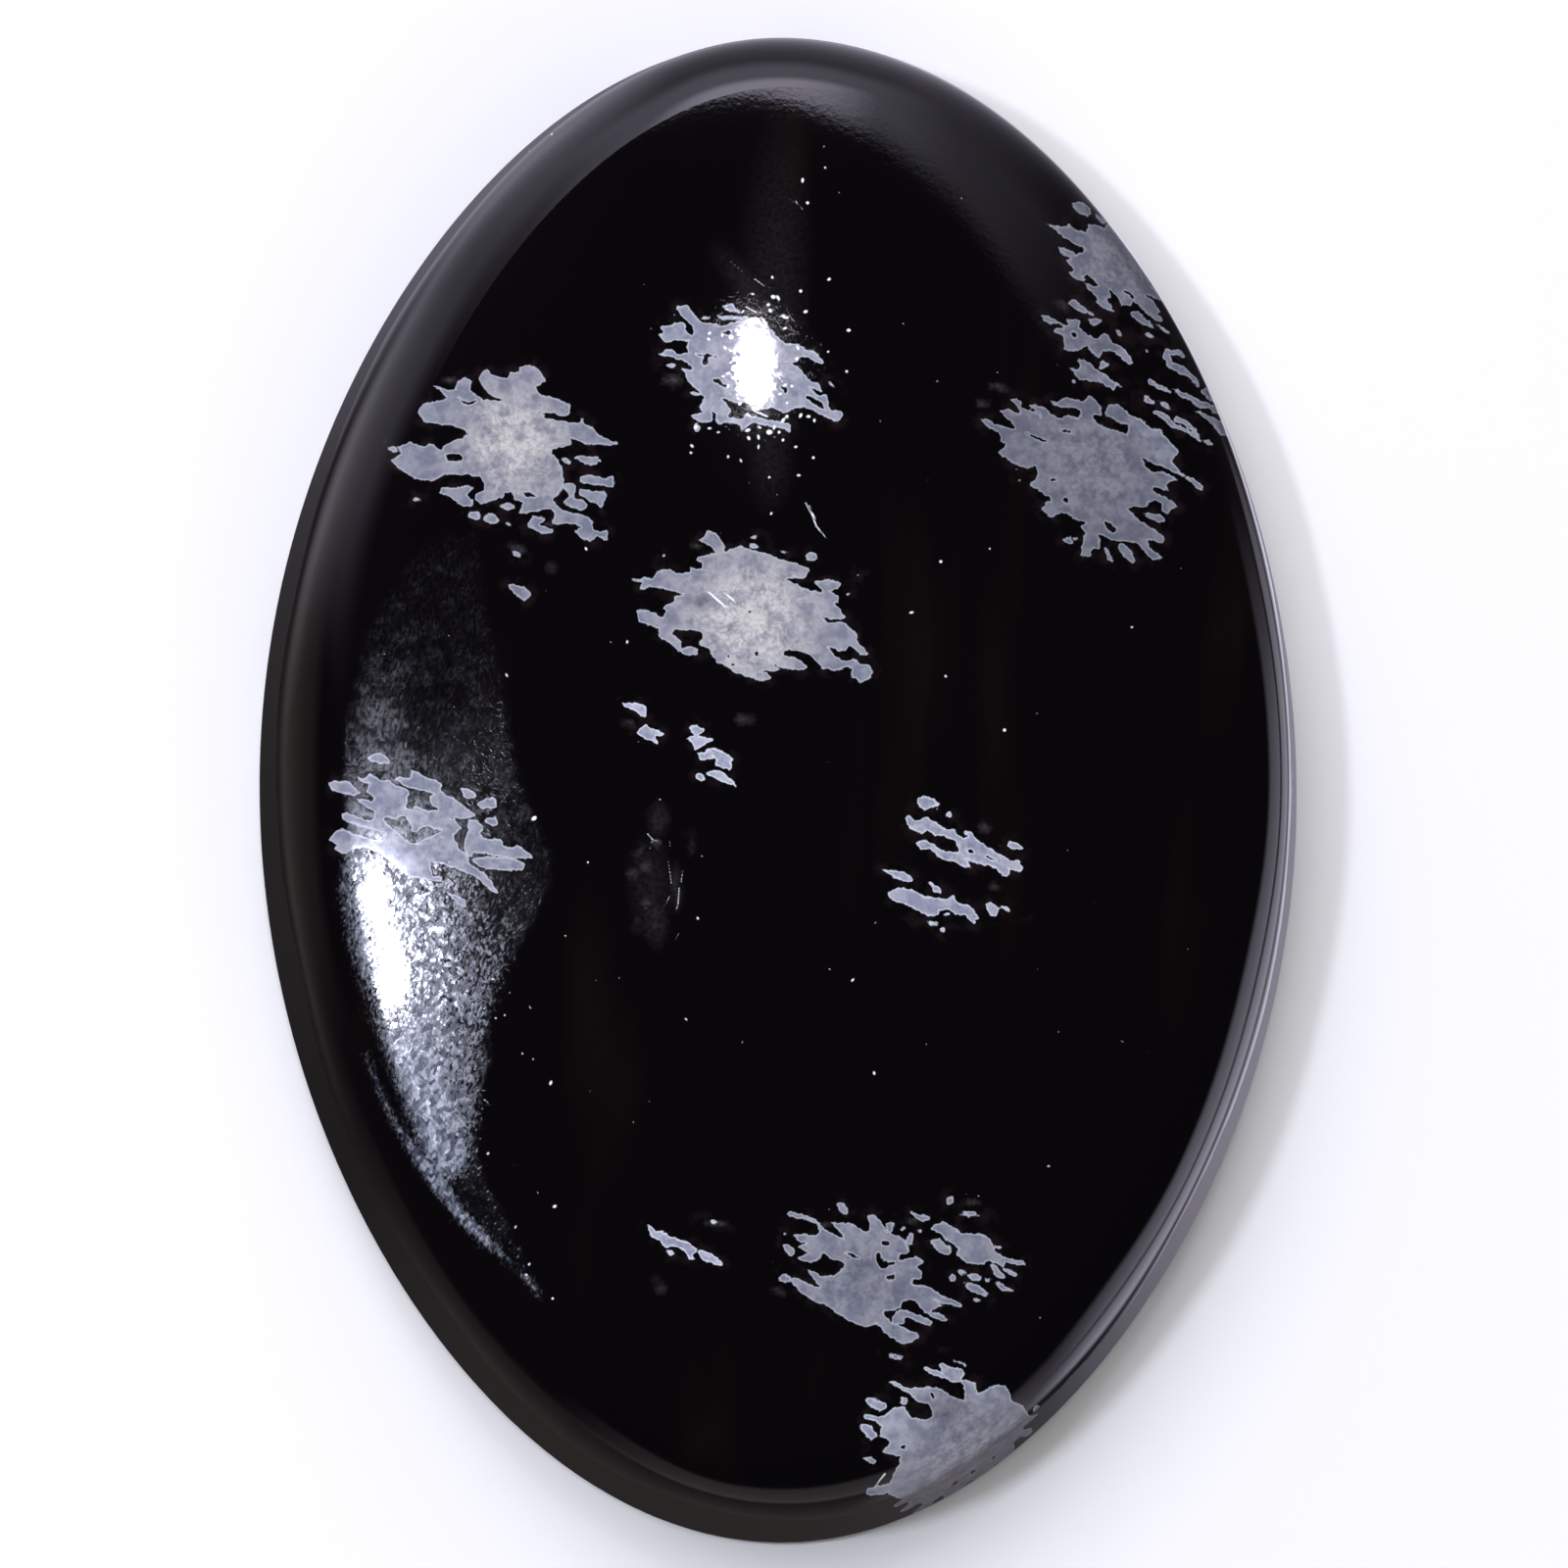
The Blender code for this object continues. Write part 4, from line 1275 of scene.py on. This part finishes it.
def stretched(tree, place, scale, tilt=0.0):
    """The place scaled along each axis, so that noise drawn there runs in streaks."""
    inputs = {"Vector": place, "Rotation": (0.0, 0.0, math.radians(tilt))}
    turned = add_node(tree, "ShaderNodeMapping", inputs).outputs["Vector"]
    return vector(tree, "MULTIPLY", turned, scale)


def noise(tree, place, size, detail=2.0, roughness=0.5, output="Fac"):
    """Noise whose features are about the given size across."""
    inputs = {"Vector": place, "Scale": 1.0 / size, "Detail": detail, "Roughness": roughness}
    return add_node(tree, "ShaderNodeTexNoise", inputs).outputs[output]




def flake_colour(tree, place, depth, mottle):
    """Grey mottled crystal with a thin pale outline and a paler core of fine radial grains."""
    core = attribute(tree, "core")
    star = attribute(tree, "star", "Vector")
    grain = noise(tree, place, GRAIN_SIZE, 2.0, 0.6)
    warp = noise(tree, place, RAY_WARP_SIZE, 0.0, output="Color")
    warp = vector(tree, "MULTIPLY", warp, (0.9, 0.9, 0.7))
    rays = noise(tree, vector(tree, "ADD", star, warp), RAY_SIZE, 2.0, 0.55)
    middle = add_node(tree, "ShaderNodeSeparateXYZ", {0: star}).outputs["Z"]
    middle = spread(tree, middle, 0.62, 0.12, 0.30, 1.0)
    body = mixed(tree, spread(tree, mottle, 0.38, 0.62), FLAKE_GREY, FLAKE_LIGHT)
    core = combine(tree, "MULTIPLY", core, spread(tree, mottle, 0.34, 0.60, 0.42, 1.12))
    core = combine(tree, "MULTIPLY", core, spread(tree, rays, 0.35, 0.65, 0.62, 1.25))
    body = mixed(tree, core, body, FLAKE_CREAM)
    shade = combine(tree, "MULTIPLY", spread(tree, grain, 0.35, 0.60, -0.19, 0.10), middle)
    shade = combine(tree, "ADD", shade, 1.03)
    body = mixed(tree, 1.0, body, grey_colour(tree, shade), "MULTIPLY")
    body = mixed(tree, spread(tree, depth, 1.9, 0.7, 0.0, 0.75), body, FLAKE_OUTLINE)
    return mixed(tree, 1.0, body, grey_colour(tree, attribute(tree, "lightness")), "MULTIPLY")


def grey_colour(tree, level):
    return add_node(tree, "ShaderNodeCombineColor", {0: level, 1: level, 2: level}).outputs[0]


def back_flake_depth(tree, place):
    """Other snowflakes for the back, which the photograph doesn't show, as depths in pixels."""
    warp = noise(tree, place, BACK_WARP_SIZE, 3.0, 0.68, "Color")
    warp = vector(tree, "SUBTRACT", warp, (0.5, 0.5, 0.5))
    place = vector(tree, "ADD", place, vector(tree, "MULTIPLY", warp, (BACK_WARP, BACK_WARP, BACK_WARP)))
    inputs = {"Vector": place, "Scale": 1.0 / BACK_FLAKE_SPACING, "Randomness": 0.85}
    distance = add_node(tree, "ShaderNodeTexVoronoi", inputs, voronoi_dimensions="2D").outputs["Distance"]
    inside = combine(tree, "SUBTRACT", BACK_FLAKE_REACH, distance)
    return combine(tree, "MULTIPLY", inside, BACK_FLAKE_SPACING / (MM_PER_PIXEL * MM))


def shards(tree, place, size, across, tilt):
    """Flat splinters that lean each their own way: their heights, and a random shade for each."""
    place = stretched(tree, place, (1.0, across, 0.0), tilt)
    inputs = {"Vector": place, "Scale": 1.0 / size}
    cells = add_node(tree, "ShaderNodeTexVoronoi", inputs, voronoi_dimensions="2D")
    lean = vector(tree, "SUBTRACT", cells.outputs["Color"], (0.5, 0.5, 0.5))
    run = vector(tree, "SUBTRACT", place, cells.outputs["Position"])
    shade = add_node(tree, "ShaderNodeSeparateColor", {0: cells.outputs["Color"]}).outputs[0]
    return vector(tree, "DOT_PRODUCT", lean, run), shade


def past_shoulder(tree, down, fade):
    """The wall's share by how far down the rim a point lies: none above the fade and all below it."""
    start, end = (SHOULDER_SPAN / MM + step for step in fade)
    return spread(tree, down, start, end)


def surface_height(tree, place, splinters):
    """Bumps in micrometres: a hair's unevenness all over, splinters where crushed, grit where ground."""
    hair = combine(tree, "MULTIPLY", noise(tree, place, GRAIN_SIZE, 1.0, 0.6), HAIR_HEIGHT)
    pitted = combine(tree, "MULTIPLY", attribute(tree, "pitted"), PITTED_LEAN)
    worn = combine(tree, "MULTIPLY", attribute(tree, "worn"), WORN_LEAN)
    lean = combine(tree, "ADD", combine(tree, "ADD", attribute(tree, "crushed"), pitted), worn)
    lean = combine(tree, "MULTIPLY", lean, FACET_SLOPE * MICROMETRES)
    broken = combine(tree, "MULTIPLY", splinters, lean)
    grit = noise(tree, stretched(tree, place, (0.10, 0.10, 1.0)), GRIT_SIZE, 1.0)
    ground = past_shoulder(tree, attribute(tree, "down"), GRIT_FADE)
    grit = combine(tree, "MULTIPLY", combine(tree, "MULTIPLY", grit, ground), GRIND_HEIGHT)
    return combine(tree, "ADD", combine(tree, "ADD", hair, broken), grit)


def marking_depth(tree, place, fine, mottle):
    """How deep a point lies in a flake, in pixels: a drawn one, or a made-up one on the unseen parts."""
    back = spread(tree, attribute(tree, "back"), 0.5, 1.0)
    drawn = combine(tree, "ADD", attribute(tree, "flake"), spread(tree, fine, 0.2, 0.8, -FRAY, FRAY))
    drawn = combine(tree, "ADD", drawn, spread(tree, back, 0.8, 0.9, 0.0, -UNSEEN_SCALE))
    unseen = combine(tree, "MAXIMUM", spread(tree, back, 0.9, 1.0, -1.0, 1.0), attribute(tree, "unseen"))
    unseen = combine(tree, "MULTIPLY", unseen, UNSEEN_SCALE)
    unseen = combine(tree, "ADD", unseen, spread(tree, mottle, 0.36, 0.64, *UNSEEN_EDGE))
    made_up = combine(tree, "MINIMUM", unseen, back_flake_depth(tree, place))
    return combine(tree, "MAXIMUM", drawn, made_up)


def ground_share(tree, place):
    """Where the stone is ground and not polished: the wall below its uneven top, and the back."""
    sway = noise(tree, place, WALL_EDGE_SIZE, 2.0)
    sway = spread(tree, sway, 0.3, 0.7, -WALL_EDGE_SWAY, WALL_EDGE_SWAY)
    return past_shoulder(tree, combine(tree, "ADD", attribute(tree, "down"), sway), GROUND_FADE)


def bare_glass(tree, place, depth, fine, mottle):
    """Black glass with brown streaks, a brown stain round the flakes, and smoke, with a painted sheen round
    the upper highlight.
    """
    streaks = noise(tree, stretched(tree, place, (1.0, 0.16, 1.0), 4.0), STREAK_SIZE, 2.0)
    glass = mixed(tree, spread(tree, streaks, 0.55, 0.85), GLASS, GLASS_BROWN)
    near_flake = spread(tree, depth, -12.0, -0.5, 0.0, 0.7)
    stain = combine(tree, "MULTIPLY", spread(tree, mottle, 0.45, 0.65), near_flake)
    glass = mixed(tree, stain, glass, HALO_BROWN)
    smoke_and_sheen = combine(tree, "MULTIPLY", attribute(tree, "smoke_and_sheen"), spread(tree, fine, 0.3, 0.65, 0.35, 1.0))
    return mixed(tree, smoke_and_sheen, glass, SMOKE_AND_SHEEN_GREY)


def crushed_share(tree, speckle):
    """How much of the polish is crushed, uneven at the scale of its splinters."""
    drawn = attribute(tree, "crushed")
    uneven = combine(tree, "ADD", drawn, spread(tree, speckle, 0.3, 0.7, -0.45, 0.45))
    return combine(tree, "MULTIPLY", spread(tree, uneven, 0.05, 0.95), drawn)


def crushed_and_glow_colour(tree, glass, crushed, large_shade, small_shade):
    """The glass with pale splinters where it is crushed, from bluish to grey, partly real frosting and
    partly a painted glow of the left lamp that is brightest beside its highlight.
    """
    shade = combine(tree, "MULTIPLY", large_shade, small_shade)
    pale_and_glow = combine(tree, "MULTIPLY", crushed, spread(tree, shade, 0.0, 0.6, 0.20, 1.0))
    return mixed(tree, pale_and_glow, glass, mixed(tree, large_shade, CRUSHED_GLOW_BLUE, CRUSHED_GLOW_GREY))


def surface_roughness(tree, flake, worn, crushed, speckle, ground):
    """The polish's own roughness, with more on flakes, in the dulled patch and where it is ground."""
    dulled = combine(tree, "MINIMUM", combine(tree, "MULTIPLY", crushed, 2.0), 0.85)
    dulled = combine(tree, "ADD", worn, dulled)
    dulled = combine(tree, "MULTIPLY", dulled, spread(tree, speckle, 0.32, 0.68, *DULLED_ROUGHNESS))
    roughness = combine(tree, "ADD", combine(tree, "MULTIPLY", flake, FLAKE_ROUGHNESS), dulled)
    satin = combine(tree, "MULTIPLY", ground, GROUND_ROUGHNESS)
    return combine(tree, "ADD", roughness, combine(tree, "ADD", satin, POLISH_ROUGHNESS))


def polished_obsidian():
    """Black glass with flakes as colour, a dulled patch, dust, painted glints, sheen and glow, and a satin
    ground wall and back.
    """
    material = bpy.data.materials.new("polished_obsidian")
    material.use_nodes = True
    tree = material.node_tree
    shader = tree.nodes["Principled BSDF"]
    place = add_node(tree, "ShaderNodeTexCoord", {}).outputs["Object"]
    fine = noise(tree, place, FRAY_SIZE, 2.0)
    mottle = noise(tree, place, MOTTLE_SIZE, 3.0, 0.6)
    speckle = noise(tree, stretched(tree, place, (1.0, 0.45, 1.0), 20.0), SPECKLE_SIZE, 3.0, 0.7)
    depth = marking_depth(tree, place, fine, mottle)
    flake = spread(tree, depth, -0.6, 0.6)
    ground = ground_share(tree, place)
    worn = combine(tree, "MULTIPLY", attribute(tree, "worn"), spread(tree, mottle, 0.36, 0.64, 0.60, 1.30))
    crushed = crushed_share(tree, speckle)
    large_height, large_shade = shards(tree, place, LARGE_SHARD, 0.55, 28.0)
    small_height, small_shade = shards(tree, place, SMALL_SHARD, 0.40, -38.0)

    glass = bare_glass(tree, place, depth, fine, mottle)
    glass = mixed(tree, combine(tree, "MULTIPLY", worn, spread(tree, speckle, 0.45, 0.75)), glass, WORN_GREY)
    glass = crushed_and_glow_colour(tree, glass, crushed, large_shade, small_shade)
    glass = mixed(tree, ground, glass, GROUND_GLASS)
    crystal = flake_colour(tree, place, depth, mottle)
    crystal = mixed(tree, ground, crystal, mixed(tree, 1.0, crystal, FLAKE_GROUND, "MULTIPLY"))
    colour = mixed(tree, flake, glass, crystal)
    # Painted glints and dust: scratches, chips and pits lit by the lamps, and real dust, laid on as white
    # colour
    colour = mixed(tree, spread(tree, attribute(tree, "glint"), -0.5, 0.5), colour, GLINT_WHITE)
    roughness = surface_roughness(tree, flake, worn, crushed, speckle, ground)
    height = surface_height(tree, place, combine(tree, "ADD", large_height, small_height))
    bump = add_node(tree, "ShaderNodeBump", {"Height": height, "Distance": 1.0 / MICROMETRES})
    tree.links.new(colour, shader.inputs["Base Color"])
    tree.links.new(roughness, shader.inputs["Roughness"])
    tree.links.new(bump.outputs["Normal"], shader.inputs["Normal"])
    shader.inputs["IOR"].default_value = GLASS_IOR
    return material


def floor_material():
    material = bpy.data.materials.new("pale_floor")
    material.use_nodes = True
    shader = material.node_tree.nodes["Principled BSDF"]
    shader.inputs["Base Color"].default_value = (0.82, 0.82, 0.82, 1.0)
    shader.inputs["Roughness"].default_value = 0.7
    shader.inputs["Specular IOR Level"].default_value = 0.2
    return material


# Stage and light
def make_floor():
    side = FLOOR_HALF_SIDE
    low = LOW.z - FLOOR_GAP
    corners = [(-side, -side, low), (side, -side, low), (side, side, low), (-side, side, low)]
    mesh = bpy.data.meshes.new("floor")
    mesh.from_pydata(corners, [], [(0, 1, 2, 3)])
    mesh.materials.append(floor_material())
    floor = bpy.data.objects.new("floor", mesh)
    bpy.context.scene.collection.objects.link(floor)
    floor.visible_glossy = False


def dome_place_at(pixel):
    """The dome's point and normal that appear at a pixel."""
    slope_right = (pixel[0] - PHOTO_SIZE / 2) / PIXELS_PER_SLOPE
    slope_down = (pixel[1] - PHOTO_SIZE / 2) / PIXELS_PER_SLOPE
    ray = -VIEW_DIRECTION + CAMERA_RIGHT * slope_right - CAMERA_UP * slope_down
    height = HEIGHT
    rounds = 20
    for _ in range(rounds):
        place = CAMERA_PLACE + ray * ((height - CAMERA_PLACE.z) / ray.z)
        height = float(dome_height(np.array([place[:2]]))[0])
    return place, Vector(dome_normal(np.array([place[:2]]))[0]), ray.normalized()


def make_lamp(name, direction, distance, size, radiance, target, shape, roll=0.0):
    """A flat lamp that faces the target. Its size is its level and its rising measure, before its roll."""
    data = bpy.data.lights.new(name, "AREA")
    data.shape = shape
    data.size, data.size_y = size
    area = size[0] * size[1] * (math.pi / 4 if shape == "ELLIPSE" else 1.0)
    data.energy = radiance * area * 4  # a flat lamp's power for this radiance
    lamp = bpy.data.objects.new(name, data)
    lamp.location = target + direction.normalized() * distance
    right = Vector((-direction.y, direction.x, 0.0)).normalized()
    right = Matrix.Rotation(math.radians(roll), 3, direction.normalized()) @ right
    lamp.rotation_euler = facing(right, direction.normalized())
    bpy.context.scene.collection.objects.link(lamp)
    return lamp


def make_highlight(name, pixel, degrees, radiance, roll, tint):
    """An oval lamp placed so that the polish mirrors it at the pixel."""
    place, normal, ray = dome_place_at(pixel)
    size = [2 * HIGHLIGHT_DISTANCE * math.tan(math.radians(width / 2)) for width in degrees]
    direction = ray.reflect(normal)
    lamp = make_lamp(name, direction, HIGHLIGHT_DISTANCE, size, radiance, place, "ELLIPSE", roll)
    lamp.data.color = tint


def direction_at(azimuth, elevation):
    """A direction: azimuth 0 is +Y and 90 is +X, in degrees."""
    turn, rise = math.radians(azimuth), math.radians(elevation)
    return Vector((math.sin(turn) * math.cos(rise), math.cos(turn) * math.cos(rise), math.sin(rise)))


def make_lights():
    for name, values in HIGHLIGHT_LAMPS.items():
        make_highlight(name, *values)
    stone_place = Vector((0.0, 0.0, 0.0))
    for name, (azimuth, elevation, radiance) in SOFT_LAMPS.items():
        direction = direction_at(azimuth, elevation)
        soft = make_lamp(name, direction, SOFT_DISTANCE, SOFT_SIZE, radiance, stone_place, "RECTANGLE")
        soft.visible_glossy = False


def card_light(tree, flat, rise, card):
    """One card's light towards a level direction and a rise, as a number."""
    azimuth, half_width, side_soft, low, high, low_soft, high_soft, radiance, _ = card
    towards = vector(tree, "DOT_PRODUCT", flat, tuple(direction_at(azimuth, 0.0)))
    outer = math.cos(math.radians(half_width + side_soft))
    inner = math.cos(math.radians(max(half_width - side_soft, 0.0)))
    light = spread(tree, towards, outer, inner, 0.0, radiance)
    for edge, soft, sign in ((low, low_soft, 1.0), (high, high_soft, -1.0)):
        start = math.sin(math.radians(edge - sign * soft))
        end = math.sin(math.radians(edge + sign * soft))
        light = combine(tree, "MULTIPLY", light, spread(tree, rise, start, end))
    return light


def make_world():
    """A dark studio with soft cards, and a pale backdrop behind the floor."""
    world = bpy.data.worlds.new("studio")
    bpy.context.scene.world = world
    world.use_nodes = True
    tree = world.node_tree
    direction = add_node(tree, "ShaderNodeTexCoord", {}).outputs["Generated"]
    level = vector(tree, "MULTIPLY", direction, (1.0, 1.0, 0.0))
    flat = vector(tree, "NORMALIZE", level, (0.0, 0.0, 0.0))
    rise = add_node(tree, "ShaderNodeSeparateXYZ", {0: direction}).outputs["Z"]
    light = STUDIO_DARK
    for tint in (COOL, NEUTRAL, WARM):
        level = 0.0
        for card in CARDS.values():
            if card[-1] == tint:
                level = combine(tree, "ADD", level, card_light(tree, flat, rise, card))
        light = vector(tree, "ADD", light, vector(tree, "MULTIPLY", level, tint))
    seen = add_node(tree, "ShaderNodeLightPath", {}).outputs["Is Camera Ray"]
    light = mixed(tree, seen, light, BACKDROP)
    tree.links.new(light, tree.nodes["Background"].inputs["Color"])


make_camera()
stone = make_stone()
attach(stone, "root")
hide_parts("cabochon")
make_floor()
make_lights()
make_world()
bpy.context.scene.view_settings.view_transform = "Standard"
